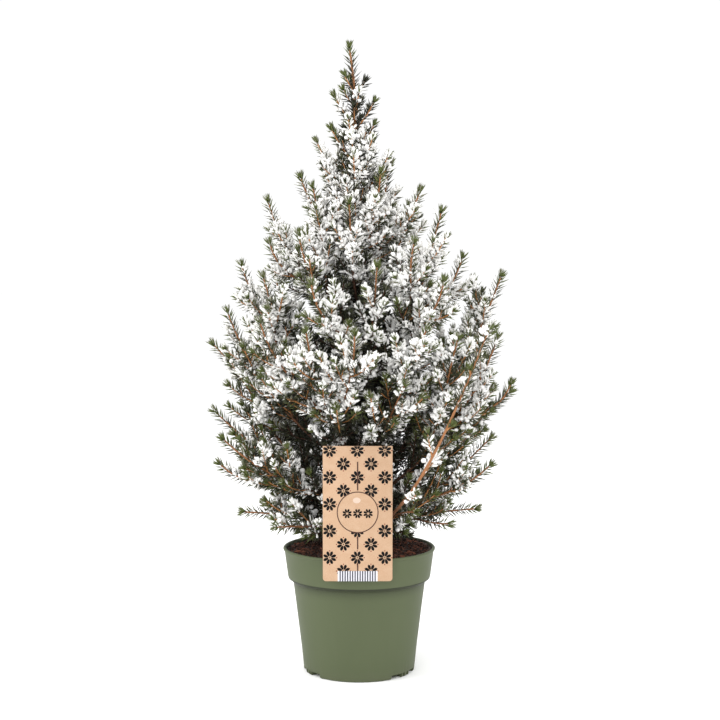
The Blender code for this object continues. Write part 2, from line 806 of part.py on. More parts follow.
def twig_solid(twig, space):
    """Draw a twig's faces out into needles that lean forward, most of all at its tip."""
    stations = frames(evenly(twig.line, NEEDLE_PITCH), twig.roll)
    bm, cap = extruded_twig(twig, stations)
    foot = stations[0][0]
    end, end_along = stations[-1][:2]
    if twig.pointed:
        bmesh.ops.poke(bm, faces=[cap])["verts"][0].co = end + end_along * TIP_NEEDLE
    for face in [face for face in bm.faces if len(face.verts) == 4]:
        centre = face.calc_center_median()
        along = min(stations, key=lambda station: (station[0] - centre).length)[1]
        lean = TIP_LEAN if (centre - end).length < NEEDLE_PITCH else 1.0
        point = centre + face.normal * NEEDLE_OUT / lean + along * NEEDLE_FORWARD * lean
        clear = space.keeps(twig.mass, point) and space.keeps(twig.mass, centre.lerp(point, 0.5))
        if (centre - foot).length > twig.bare_foot and clear:
            bmesh.ops.poke(bm, faces=[face])["verts"][0].co = point
    mesh = bpy.data.meshes.new(twig.mass)
    bm.to_mesh(mesh)
    bm.free()
    return mesh


def make_bough(name, line, group, clearance, finish):
    """Make one tapering limb, cut clear of the trunk at its foot."""
    radii = np.linspace(BOUGH_FOOT_RADIUS, BOUGH_END_RADIUS, len(line))
    made = add_object(name, tube(name, line, radii, BOUGH_BEVEL), group, finish)
    boolean(made, "clear_of_trunk", "DIFFERENCE", cutter=clearance)
    smooth(applied(made).data)


def join_mass(name, solids, group, cutters, clearance, finish):
    """Unite a mass's twigs into one body, clear of the trunk."""
    twigs = bpy.data.collections.new(name + "_twigs")
    cutters.children.link(twigs)
    for index, mesh in enumerate(solids[1:]):
        mark_cutter(add_object(f"{name}_twig_{index + 1}", mesh, twigs))
    made = add_object(name, solids[0], group, finish)
    boolean(made, "twigs", "UNION", group=twigs)
    boolean(made, "clear_of_trunk", "DIFFERENCE", cutter=clearance)
    applied(made)
    for item in list(twigs.objects):
        bpy.data.objects.remove(item)
    bpy.data.collections.remove(twigs)


def limb_names():
    """Return every limb by its name, counted within its tier."""
    counts = dict.fromkeys(TIERS, 0)
    named = {}
    for limb in BOUGH_LIMBS + TRUNK_LIMBS:
        counts[limb.tier] += 1
        named[f"{limb.tier}_{counts[limb.tier]:02d}"] = limb
    return named


def plan_limbs(space):
    """Lay out every bough, stem and fork, so that no shoot is tried before them."""
    stations = trunk_stations()
    for low, high in zip(stations, stations[1:]):
        space.add("trunk", [trunk_axis(low), trunk_axis(high)], (trunk_radius(low), trunk_radius(high)))
    boughs = {}
    stems = []
    named = limb_names()
    for label, limb in named.items():
        line = limb_line(limb)
        mass = "needles_" + label
        if limb in BOUGH_LIMBS:
            cut = round(len(line) * BOUGH_BARE_SHARE)
            bough = line[:cut]
            boughs["bough_" + label] = evenly(bough, BOUGH_STEP)
            space.add("bough_" + label, bough[1:], (BOUGH_FOOT_RADIUS, BOUGH_END_RADIUS))
            line = [bough[-1] + (line[cut] - bough[-1]).normalized() * GAP, *line[cut:]]
        stems.append(Twig(mass, line, (BOUGH_END_RADIUS, STEM_TIP_RADIUS), math.radians(limb.azimuth)))
        space.add(mass, line[1:], stems[-1].radii)
    for fork in FORKS:
        mass = "needles_" + fork.limb
        line = fork_line(fork, named[fork.limb])
        radii = (FORK_RADIUS, STEM_TIP_RADIUS)
        stems.append(Twig(mass, line, radii, math.radians(fork.azimuth), bare_foot=FORK_BARE_FOOT))
        space.add(mass, line, radii)
    return boughs, stems


def grow_masses(space, stems):
    """Return the twigs of every mass; a shoot with no room of its own is left out."""
    masses = {}
    for stem in stems:
        masses.setdefault(stem.mass, []).append(stem)
    leader = "needles_leader"
    core = leader_core(leader)
    masses[leader] = [core]
    space.add(leader, core.line, core.radii)
    for shoot in leader_shoots(leader):
        if space.has_room(leader, shoot.line[2 * SUNK_POINTS:]):
            masses[leader].append(shoot)
            space.add(leader, shoot.line, shoot.radii)
    for index, stem in enumerate(stems):
        scale = TIERS[stem.mass.split("_")[1]].shoots
        for shoot in side_shoots(stem.mass, stem.line, scale, random.Random(SEED + index)):
            if space.has_room(stem.mass, shoot.line[SUNK_POINTS:]):
                masses[stem.mass].append(shoot)
                space.add(stem.mass, shoot.line, shoot.radii)
    return masses


def build():
    """Build the whole plant."""
    clear_scene()
    parts = collection("potted_spruce")
    cutters = collection("cutters")
    bark = material("bark", (0.30, 0.17, 0.10), 0.85)
    needles = material("needles", (0.13, 0.20, 0.11), 0.70)
    make_pot(parts, cutters, material("pot_plastic", (0.16, 0.19, 0.11), 0.50))
    make_soil(parts, material("compost", (0.09, 0.05, 0.03), 0.95))
    make_label(parts, cutters, material("label_card", (0.86, 0.56, 0.33), 0.65))
    clearance = make_trunk(parts, cutters, bark)
    space = Space()
    boughs, stems = plan_limbs(space)
    for name, line in boughs.items():
        make_bough(name, line, parts, clearance, bark)
    for mass, twigs in grow_masses(space, stems).items():
        solids = [twig_solid(twig, space) for twig in twigs]
        join_mass(mass, solids, parts, cutters, clearance, needles)


build()
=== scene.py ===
"""Looks of a potted dwarf white spruce under snow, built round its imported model.

Metres, +Z up. The origin is under the middle of the pot, and the label stands on the -Y side.
Azimuths are turned about +Z from +X, in degrees.
"""

import logging
import math
import random
from dataclasses import dataclass, field
from enum import Enum, IntEnum
from typing import Callable, Iterable, Sequence

import bmesh
import bpy
import numpy as np
from mathutils import Matrix, Vector, noise


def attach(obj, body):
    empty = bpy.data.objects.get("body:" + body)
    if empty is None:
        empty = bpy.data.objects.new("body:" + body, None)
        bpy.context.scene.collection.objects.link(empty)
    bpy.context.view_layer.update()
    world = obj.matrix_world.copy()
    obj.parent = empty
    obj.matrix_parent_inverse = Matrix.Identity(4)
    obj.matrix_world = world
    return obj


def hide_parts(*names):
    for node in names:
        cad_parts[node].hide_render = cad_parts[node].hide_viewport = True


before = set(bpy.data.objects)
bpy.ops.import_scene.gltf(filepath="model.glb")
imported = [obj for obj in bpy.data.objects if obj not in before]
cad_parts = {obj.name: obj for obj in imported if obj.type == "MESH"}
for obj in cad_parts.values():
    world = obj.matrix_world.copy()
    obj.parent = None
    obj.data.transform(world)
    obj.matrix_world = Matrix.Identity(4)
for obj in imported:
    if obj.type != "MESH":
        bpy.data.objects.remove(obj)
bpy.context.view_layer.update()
LOG = logging.getLogger("spruce")

ROOT = "root"
GAP = 0.0003
SEED = 41
GOLDEN_ANGLE = 137.5
PIECE_TRIANGLES = 190_000
CROWN_STATIONS = 90_000
UP = np.array((0.0, 0.0, 1.0))

Array = np.ndarray
Pair = tuple[float, float]
Triple = tuple[float, float, float]
Row = tuple[float, ...]
Colour = tuple[float, float, float, float]
Solid = tuple[Array, Array]
Item = bpy.types.Object
MeshPart = bmesh.types.BMVert | bmesh.types.BMEdge | bmesh.types.BMFace


class Draw(IntEnum):
    """What is added to the seed for each kind of growth."""

    FINE = 100
    INNER = 500
    TRUNK = 900
    TWIGS = 1000
    NEEDLES = 10_000
    SNOW = 20_000


def linear(red: float, green: float, blue: float) -> Colour:
    """Turn a screen colour, of 0 to 255 a channel, into a linear one with full alpha."""
    shares = (value / 255.0 for value in (red, green, blue))
    return (*(share / 12.92 if share <= 0.04045 else ((share + 0.055) / 1.055) ** 2.4
              for share in shares), 1.0)


class Value:
    """A socket in a material's nodes, with Python's operators for numbers."""

    def __init__(self, graph: "Graph", socket: bpy.types.NodeSocket) -> None:
        """Wrap one output socket of a graph."""
        self.graph = graph
        self.socket = socket

    def _math(self, operation: str, first: "Value | float", second: "Value | float" = 0.0) -> "Value":
        """Add a Math node and return its result."""
        return self.graph.node("ShaderNodeMath", {"operation": operation}, {0: first, 1: second})

    def __add__(self, other: "Value | float") -> "Value":
        """Return self + other."""
        return self._math("ADD", self, other)

    def __radd__(self, other: float) -> "Value":
        """Return other + self."""
        return self._math("ADD", other, self)

    def __sub__(self, other: "Value | float") -> "Value":
        """Return self - other."""
        return self._math("SUBTRACT", self, other)

    def __rsub__(self, other: float) -> "Value":
        """Return other - self."""
        return self._math("SUBTRACT", other, self)

    def __mul__(self, other: "Value | float") -> "Value":
        """Return self * other."""
        return self._math("MULTIPLY", self, other)

    def __rmul__(self, other: float) -> "Value":
        """Return other * self."""
        return self._math("MULTIPLY", other, self)

    def __truediv__(self, other: "Value | float") -> "Value":
        """Return self / other."""
        return self._math("DIVIDE", self, other)

    def __rtruediv__(self, other: float) -> "Value":
        """Return other / self."""
        return self._math("DIVIDE", other, self)

    def __pow__(self, other: "Value | float") -> "Value":
        """Return self ** other."""
        return self._math("POWER", self, other)

    def clamped(self) -> "Value":
        """Return the number kept between 0 and 1."""
        return self._math("MINIMUM", self._math("MAXIMUM", self, 0.0), 1.0)


class Graph:
    """The nodes of one material round its Principled shader."""

    def __init__(self, name: str) -> None:
        """Start a material of that name."""
        self.material = bpy.data.materials.new(name)
        self.material.use_nodes = True
        self.tree = self.material.node_tree
        self.shader = self.tree.nodes["Principled BSDF"]

    def feed(self, socket: bpy.types.NodeSocket, value: "Value | float | Sequence[float]") -> None:
        """Give a socket a link or a plain value."""
        if isinstance(value, Value):
            self.tree.links.new(value.socket, socket)
        else:
            socket.default_value = value

    def node(self, kind: str, settings: dict | None = None, inputs: dict | None = None,
             output: int = 0) -> Value:
        """Add any node.

        Args:
            kind: The node's type.
            settings: Its properties, and "stops" for a colour ramp, set before its sockets.
            inputs: Values or links by socket name or number.
            output: The number of the output socket wanted.

        Returns:
            That output socket, wrapped.
        """
        made = self.tree.nodes.new(kind)
        for name, value in (settings or {}).items():
            if name == "stops":
                self._set_stops(made.color_ramp, value)
            else:
                setattr(made, name, value)
        for name, value in (inputs or {}).items():
            self.feed(made.inputs[name], value)
        return Value(self, made.outputs[output])

    @staticmethod
    def _set_stops(ramp: bpy.types.ColorRamp, stops: Sequence[tuple[float, Colour]]) -> None:
        """Give a colour ramp its stops."""
        while len(ramp.elements) < len(stops):
            ramp.elements.new(1.0)
        for element, (place, colour) in zip(ramp.elements, stops):
            element.position = place
            element.color = colour

    def place(self) -> Value:
        """Return the point in the object's own space."""
        return self.node("ShaderNodeTexCoord", output=3)

    def clouds(self, scale: float, detail: float = 3.0, stretch: Sequence[float] = (1.0, 1.0, 1.0)) -> Value:
        """Add soft noise round one half, with features to the metre, octaves and each axis's scale."""
        at = self.node("ShaderNodeMapping", None, {"Vector": self.place(), "Scale": stretch})
        return self.node("ShaderNodeTexNoise", None, {"Vector": at, "Scale": scale, "Detail": detail})

    def blend(self, share: Value | float, first: Value | Colour, second: Value | Colour) -> Value:
        """Mix two colours, from the first at 0 to the second at 1."""
        return self.node("ShaderNodeMix", {"data_type": "RGBA"}, {0: share, 6: first, 7: second}, output=2)

    def relief(self, height: Value, strength: float, distance: float) -> None:
        """Bump the surface by a height."""
        inputs = {"Height": height, "Strength": strength, "Distance": distance}
        self.feed(self.shader.inputs["Normal"], self.node("ShaderNodeBump", None, inputs))

    def surface(self, colour: Value | Colour, roughness: Value | float,
                **sockets: float) -> bpy.types.Material:
        """Finish the shader.

        Args:
            colour: Base colour.
            roughness: Roughness.
            **sockets: Other sockets by name, with underscores for spaces.

        Returns:
            The material.
        """
        self.feed(self.shader.inputs["Base Color"], colour)
        self.feed(self.shader.inputs["Roughness"], roughness)
        for name, value in sockets.items():
            self.feed(self.shader.inputs[name.replace("_", " ")], value)
        return self.material


@dataclass(frozen=True)
class PlainFinish:
    """One even colour, as small joined things take it."""

    name: str
    colour: Colour
    roughness: float = 0.6
    gloss: float = 0.4

    def make(self) -> bpy.types.Material:
        """Return the material."""
        return Graph(self.name).surface(self.colour, self.roughness, Specular_IOR_Level=self.gloss)


@dataclass(frozen=True)
class MouldedPlastic:
    """Matte polypropylene: fine grain, faint flow clouds, a dusty foot and a painted shadow band under the
    collar.
    """

    name: str = "sage_plastic"
    colour: Colour = linear(77, 85, 59)
    cloud_colour: Colour = linear(82, 90, 64)
    dust_colour: Colour = linear(90, 93, 73)
    # Painted shadow under the collar: its colour here, its top and foot heights below.
    collar_shadow_colour: Colour = linear(42, 46, 32)
    grain_size: float = 0.0006
    dust_height: float = 0.012
    collar_shadow_top: float = 0.0925
    collar_shadow_foot: float = 0.0770

    def make(self) -> bpy.types.Material:
        """Return the material."""
        graph = Graph(self.name)
        clouds = graph.clouds(22.0, 4.0, (1.0, 1.0, 0.45))
        streaks = graph.clouds(160.0, 2.0, (1.0, 1.0, 0.06))
        height = graph.node("ShaderNodeSeparateXYZ", None, {0: graph.place()}, output=2)
        foot = (1.0 - height / self.dust_height).clamped() * clouds
        body = graph.blend((clouds * 1.6 - 0.3).clamped(), self.colour, self.cloud_colour)
        body = graph.blend((foot * 0.7 + (streaks - 0.5) * 0.25).clamped(), body, self.dust_colour)
        # Painted shadow: the body darkens up to the collar's foot, standing in for the shade under the
        # collar's overhang.
        under = ((height - self.collar_shadow_foot) / (self.collar_shadow_top - self.collar_shadow_foot)).clamped()
        under = under ** 2.0 * ((self.collar_shadow_top + GAP * 3 - height) / (GAP * 3)).clamped()
        body = graph.blend(under, body, self.collar_shadow_colour)
        grain = graph.clouds(1.0 / self.grain_size, 2.0)
        graph.relief(grain + clouds * 2.0, 0.12, 0.0001)
        return graph.surface(body, 0.50 + clouds * 0.12, Specular_IOR_Level=0.25)


@dataclass(frozen=True)
class Peat:
    """Moist peat between the crumbs."""

    name: str = "peat"
    dark: Colour = linear(26, 17, 13)
    light: Colour = linear(72, 45, 34)

    def make(self) -> bpy.types.Material:
        """Return the material."""
        graph = Graph(self.name)
        lumps = graph.clouds(420.0, 5.0)
        graph.relief(lumps, 0.8, 0.0012)
        return graph.surface(graph.blend((lumps * 2.4 - 0.8).clamped(), self.dark, self.light), 0.92)


@dataclass(frozen=True)
class CardStock:
    """Peach card with a fine fleck."""

    name: str = "peach_card"
    paper: Colour = linear(190, 160, 133)
    fleck: Colour = linear(180, 146, 116)
    pale: Colour = linear(198, 170, 145)

    def make(self) -> bpy.types.Material:
        """Return the material."""
        graph = Graph(self.name)
        flecks = graph.clouds(1500.0, 2.0)
        clouds = graph.clouds(120.0, 2.0)
        tone = graph.blend((flecks * 3.0 - 1.2).clamped(), self.fleck, self.paper)
        tone = graph.blend((clouds * 2.0 - 0.9).clamped() * 0.5, tone, self.pale)
        graph.relief(flecks, 0.15, 0.00005)
        return graph.surface(tone, 0.62 + flecks * 0.2, Specular_IOR_Level=0.3)


@dataclass(frozen=True)
class Bark:
    """Thin scaly bark, dark by the trunk's foot and orange brown on the outer limbs."""

    name: str = "bark"
    old: Colour = linear(54, 38, 29)
    middle: Colour = linear(86, 55, 38)
    young: Colour = linear(152, 102, 63)
    scar: Colour = linear(58, 40, 30)
    young_from: float = 0.110
    crown_foot: float = 0.36
    crown_top: float = 0.50

    def make(self) -> bpy.types.Material:
        """Return the material."""
        graph = Graph(self.name)
        across = graph.node("ShaderNodeVectorMath", {"operation": "MULTIPLY"},
                            {0: graph.place(), 1: (1.0, 1.0, 0.0)})
        out = graph.node("ShaderNodeVectorMath", {"operation": "LENGTH"}, {0: across}, output=1)
        height = graph.node("ShaderNodeSeparateXYZ", None, {0: graph.place()}, output=2)
        rise = ((height - self.crown_foot) / (self.crown_top - self.crown_foot)).clamped()
        age = (out / self.young_from + rise).clamped()
        scales = graph.clouds(900.0, 3.0, (1.0, 1.0, 0.5))
        tone = graph.node("ShaderNodeValToRGB",
                          {"stops": ((0.0, self.old), (0.45, self.middle), (1.0, self.young))},
                          {"Fac": age + (scales - 0.5) * 0.5})
        cracks = (scales * 3.2 - 1.9).clamped()
        graph.relief(scales, 0.5, 0.0004)
        return graph.surface(graph.blend(cracks, tone, self.scar), 0.78)


@dataclass(frozen=True)
class StudioWhite:
    """Pale floor."""

    name: str = "studio_floor"
    colour: Colour = linear(255, 255, 255)
    shade: Colour = linear(254, 254, 254)

    def make(self) -> bpy.types.Material:
        """Return the material."""
        graph = Graph(self.name)
        soft = graph.clouds(3.0, 1.0)
        return graph.surface(graph.blend(soft * 0.2, self.colour, self.shade), 0.85, Specular_IOR_Level=0.1)


class Tint(Enum):
    """The colours that needles, shoots and snow are dealt."""

    TIP = PlainFinish("needle_tip_green", linear(82, 91, 42), 0.5)
    GREEN = PlainFinish("needle_green", linear(58, 62, 36), 0.5)
    # Painted shade: the darker green dealt to bare needles deep inside the crown.
    DARK = PlainFinish("needle_dark_green", linear(34, 35, 19), 0.55)
    RIMED = PlainFinish("needle_rimed", linear(128, 126, 106), 0.65)
    FROST = PlainFinish("needle_frost", linear(242, 241, 237), 0.75)
    LADEN = PlainFinish("needle_laden", linear(244, 243, 240), 0.8)
    SNOW = PlainFinish("snow", linear(246, 245, 243), 0.85)
    SHOOT_YOUNG = PlainFinish("shoot_orange", linear(180, 124, 74), 0.65)
    SHOOT_OLD = PlainFinish("shoot_brown", linear(76, 50, 37), 0.75)


def put_down() -> None:
    """Leave object mode's selection empty."""
    if bpy.context.object is not None and bpy.context.object.mode != "OBJECT":
        bpy.ops.object.mode_set(mode="OBJECT")
    bpy.ops.object.select_all(action="DESELECT")


def take_up(item: Item) -> None:
    """Select one object alone and make it active."""
    put_down()
    item.select_set(True)
    bpy.context.view_layer.objects.active = item


class Workpiece:
    """One mesh being shaped with operators, its faces, edges and points picked in code."""

    def __init__(self, name: str) -> None:
        """Take up the object that an operator has just added, with its place in its mesh."""
        self.item = bpy.context.active_object
        self.item.name = name
        self.item.data.name = name
        bpy.ops.object.transform_apply(location=True, rotation=True, scale=True)

    @classmethod
    def disc(cls, name: str, sides: int, radius: float, place: Sequence[float], facing_front: bool = False,
             filled: bool = True) -> "Workpiece":
        """Add a round blank.

        Args:
            name: The piece's name.
            sides: How many sides stand for the circle.
            radius: Its radius.
            place: Its centre.
            facing_front: Whether it stands up and faces -Y.
            filled: Whether it has a face.

        Returns:
            The new workpiece.
        """
        put_down()
        turn = (math.radians(90.0), 0.0, 0.0) if facing_front else (0.0, 0.0, 0.0)
        fill = "NGON" if filled else "NOTHING"
        bpy.ops.mesh.primitive_circle_add(vertices=sides, radius=radius, fill_type=fill, location=place,
                                          rotation=turn)
        return cls(name)

    @classmethod
    def block(cls, name: str, place: Sequence[float], size: Sequence[float],
              turn: float = 0.0) -> "Workpiece":
        """Add a box blank.

        Args:
            name: The piece's name.
            place: Its centre.
            size: Its three sides.
            turn: Its turn about Z in degrees.

        Returns:
            The new workpiece.
        """
        put_down()
        rotation = (0.0, 0.0, math.radians(turn))
        bpy.ops.mesh.primitive_cube_add(size=1.0, location=place, rotation=rotation, scale=size)
        return cls(name)

    def edit(self) -> None:
        """Open the mesh with all of it picked."""
        take_up(self.item)
        bpy.ops.object.mode_set(mode="EDIT")
        bpy.ops.mesh.select_mode(type="FACE")
        bpy.ops.mesh.select_all(action="SELECT")

    def close(self) -> None:
        """Leave the mesh."""
        bpy.ops.object.mode_set(mode="OBJECT")

    def pick(self, kind: str, test: Callable[[MeshPart], bool]) -> None:
        """Pick the parts of the open mesh that pass a test.

        Args:
            kind: VERT, EDGE or FACE.
            test: Tells whether a part is wanted.
        """
        bpy.ops.mesh.select_mode(type=kind)
        bpy.ops.mesh.select_all(action="DESELECT")
        bm = bmesh.from_edit_mesh(self.item.data)
        parts = {"VERT": bm.verts, "EDGE": bm.edges, "FACE": bm.faces}[kind]
        for part in parts:
            part.select = test(part)
        bm.select_flush_mode()
        bmesh.update_edit_mesh(self.item.data)

    def turn_up(self, outline: Sequence[Pair]) -> "Workpiece":
        """Draw a round blank through radius and height points round Z.

        Args:
            outline: The points, the blank's own first.

        Returns:
            The workpiece.
        """
        self.edit()
        for (radius, height), (next_radius, next_height) in zip(outline, outline[1:]):
            rise = (0.0, 0.0, next_height - height)
            bpy.ops.mesh.extrude_region_move(TRANSFORM_OT_translate={"value": rise})
            ratio = next_radius / radius
            bpy.ops.transform.resize(value=(ratio, ratio, 1.0), center_override=(0.0, 0.0, next_height))
        bpy.ops.mesh.select_all(action="SELECT")
        bpy.ops.mesh.normals_make_consistent(inside=False)
        self.close()
        return self

    def thicken_front(self, thickness: float) -> "Workpiece":
        """Draw a flat blank out towards -Y."""
        self.edit()
        bpy.ops.mesh.extrude_region_move(TRANSFORM_OT_translate={"value": (0.0, -thickness, 0.0)})
        bpy.ops.mesh.select_all(action="SELECT")
        bpy.ops.mesh.normals_make_consistent(inside=False)
        self.close()
        return self

    def modify(self, kind: str, **settings: object) -> "Workpiece":
        """Add and apply a modifier.

        Args:
            kind: The modifier's type.
            **settings: Its properties.

        Returns:
            The workpiece.
        """
        take_up(self.item)
        made = self.item.modifiers.new(kind.lower(), kind)
        for name, value in settings.items():
            setattr(made, name, value)
        bpy.ops.object.modifier_apply(modifier=made.name)
        return self

    def cut(self, cutters: Iterable["Workpiece"]) -> "Workpiece":
        """Cut the piece by others, which are then thrown away."""
        for cutter in cutters:
            self.modify("BOOLEAN", operation="DIFFERENCE", solver="EXACT", use_self=True, object=cutter.item)
            bpy.data.objects.remove(cutter.item)
        return self

    def join(self, others: Iterable["Workpiece"]) -> "Workpiece":
        """Take other workpieces into this one."""
        take_up(self.item)
        for other in others:
            other.item.select_set(True)
        bpy.ops.object.join()
        return self

    def ease(self, width: float) -> "Workpiece":
        """Round the sharp edges and shade the rest smooth."""
        self.modify("BEVEL", width=width, segments=2, limit_method="ANGLE", angle_limit=math.radians(50.0))
        return self.smooth(30.0)

    def smooth(self, angle: float) -> "Workpiece":
        """Shade smooth between sharp edges."""
        take_up(self.item)
        bpy.ops.object.shade_smooth_by_angle(angle=math.radians(angle))
        return self


def dress(item: Item, finish: bpy.types.Material, replaced: Iterable[str] = ()) -> None:
    """Give a finished piece its material and its place in the frame.

    Args:
        item: The piece.
        finish: Its material.
        replaced: The model's nodes that it stands for.
    """
    item.data.materials.clear()
    item.data.materials.append(finish)
    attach(item, ROOT)
    if replaced:
        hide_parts(*replaced)
    item.data.calc_loop_triangles()
    LOG.info("%s: %d triangles", item.name, len(item.data.loop_triangles))


def mesh_piece(name: str, points: Array, faces: Array, smooth: bool = True) -> Item:
    """Make an object from arrays.

    Args:
        name: Its name.
        points: Its points, one row each.
        faces: Point numbers of its faces, one row each, all with the same number of corners.
        smooth: Whether it is shaded smooth.

    Returns:
        The object, in the scene.
    """
    corners = faces.shape[1]
    mesh = bpy.data.meshes.new(name)
    mesh.vertices.add(len(points))
    mesh.vertices.foreach_set("co", points.astype(np.float32).ravel())
    mesh.loops.add(faces.size)
    mesh.loops.foreach_set("vertex_index", faces.astype(np.int32).ravel())
    mesh.polygons.add(len(faces))
    mesh.polygons.foreach_set("loop_start", np.arange(0, faces.size, corners, dtype=np.int32))
    mesh.polygons.foreach_set("use_smooth", np.full(len(faces), smooth))
    mesh.update(calc_edges=True)
    made = bpy.data.objects.new(name, mesh)
    bpy.context.scene.collection.objects.link(made)
    return made


class Heap:
    """Many small things of one colour, joined into pieces under the triangle limit."""

    def __init__(self) -> None:
        """Start empty."""
        self.batches: list[list[Solid]] = []
        self.triangles = 0

    def add(self, points: Array, faces: Array) -> None:
        """Add closed shapes, to a new piece where the last is full.

        Args:
            points: Their points.
            faces: Their triangles, numbered within these points.
        """
        self.triangles += len(faces)
        if not self.batches or self.triangles > PIECE_TRIANGLES:
            self.batches.append([])
            self.triangles = len(faces)
        self.batches[-1].append((points, faces))

    def pour(self, name: str, smooth: bool = True) -> list[Item]:
        """Make the pieces.

        Args:
            name: Their name, which gets a number.
            smooth: Whether they are shaded smooth.

        Returns:
            The pieces.
        """
        made = []
        for number, batch in enumerate(self.batches, 1):
            starts = np.cumsum([0] + [len(points) for points, _ in batch])
            faces = np.vstack([faces + start for (_, faces), start in zip(batch, starts)])
            points = np.vstack([points for points, _ in batch])
            made.append(mesh_piece(f"{name}_{number}", points, faces, smooth))
        return made


def copies(points: Array, faces: Array, turns: Array, places: Array) -> Solid:
    """Copy one shape to many places.

    Args:
        points: The shape's points.
        faces: Its triangles.
        turns: A 3 by 3 matrix for each copy, which turns and scales it.
        places: The place of each copy.

    Returns:
        The points and the triangles of all the copies.
    """
    moved = np.einsum("nij,pj->npi", turns, points) + places[:, None, :]
    numbered = faces[None, :, :] + (np.arange(len(places)) * len(points))[:, None, None]
    return moved.reshape(-1, 3), numbered.reshape(-1, 3)


def upright(shape: Solid, places: Array) -> Solid:
    """Copy one shape to many places, unturned."""
    return copies(*shape, np.repeat(np.eye(3)[None], len(places), axis=0), places)


def small_ball() -> Solid:
    """Return the points and triangles of a ball of radius 1, made of 20 faces."""
    bm = bmesh.new()
    bmesh.ops.create_icosphere(bm, subdivisions=1, radius=1.0)
    points = np.array([tuple(vert.co) for vert in bm.verts])
    faces = np.array([[vert.index for vert in face.verts] for face in bm.faces])
    bm.free()
    return points, faces


def random_turns(count: int, dice: np.random.Generator) -> Array:
    """Return turns in all directions.

    Args:
        count: How many.
        dice: The random source.

    Returns:
        One 3 by 3 matrix each.
    """
    first = dice.normal(size=(count, 3))
    first /= np.linalg.norm(first, axis=1, keepdims=True)
    second = np.cross(first, dice.normal(size=(count, 3)))
    second /= np.linalg.norm(second, axis=1, keepdims=True)
    return np.stack((first, second, np.cross(first, second)), axis=2)


@dataclass(frozen=True)
class Softbox:
    """One square soft light: its place, side and power."""

    name: str
    place: Triple
    side: float
    power: float

    def hang(self, aim: Sequence[float]) -> None:
        """Add the light, faced to a point."""
        put_down()
        turn = (Vector(aim) - Vector(self.place)).to_track_quat("-Z", "Y").to_euler()
        bpy.ops.object.light_add(type="AREA", location=self.place, rotation=turn)
        light = bpy.context.active_object
        light.name = self.name
        light.data.size = self.side
        light.data.energy = self.power


@dataclass
class Studio:
    """Camera, pale floor and soft light."""

    camera_place: Triple = (0.0008, -1.400, 0.380)
    camera_pitch: float = -3.03
    lens: float = 71.35
    sensor: float = 36.0
    clip: Pair = (0.01, 200.0)
    floor_side: float = 120.0
    floor_sides: int = 64
    floor_z: float = -0.0002
    sky: float = 1.03
    aim: Triple = (0.0, 0.0, 0.30)
    lights: tuple[Softbox, ...] = (
        Softbox("key", (-1.70, -0.60, 1.70), 1.30, 30.0),
        Softbox("fill", (1.70, -0.50, 1.30), 1.20, 14.0),
        Softbox("front", (-0.35, -1.90, 1.00), 1.20, 11.0),
        Softbox("back", (0.30, 1.60, 1.60), 1.60, 6.0))

    def build(self) -> None:
        """Set up the camera, the floor and the lights."""
        self._camera()
        floor = Workpiece.disc("floor", self.floor_sides, self.floor_side / 2, (0.0, 0.0, self.floor_z))
        floor.item.data.materials.append(StudioWhite().make())
        world = bpy.data.worlds.new("soft_room")
        world.use_nodes = True
        background = world.node_tree.nodes["Background"]
        background.inputs["Color"].default_value = (1.0, 1.0, 1.0, 1.0)
        background.inputs["Strength"].default_value = self.sky
        bpy.context.scene.world = world
        bpy.context.scene.view_settings.view_transform = "Standard"
        for light in self.lights:
            light.hang(self.aim)

    def _camera(self) -> None:
        """Add the camera."""
        put_down()
        tilt = math.radians(90.0 + self.camera_pitch)
        bpy.ops.object.camera_add(location=self.camera_place, rotation=(tilt, 0.0, 0.0))
        camera = bpy.context.active_object
        camera.name = "camera"
        camera.data.lens = self.lens
        camera.data.sensor_width = self.sensor
        camera.data.clip_start, camera.data.clip_end = self.clip
        bpy.context.scene.camera = camera


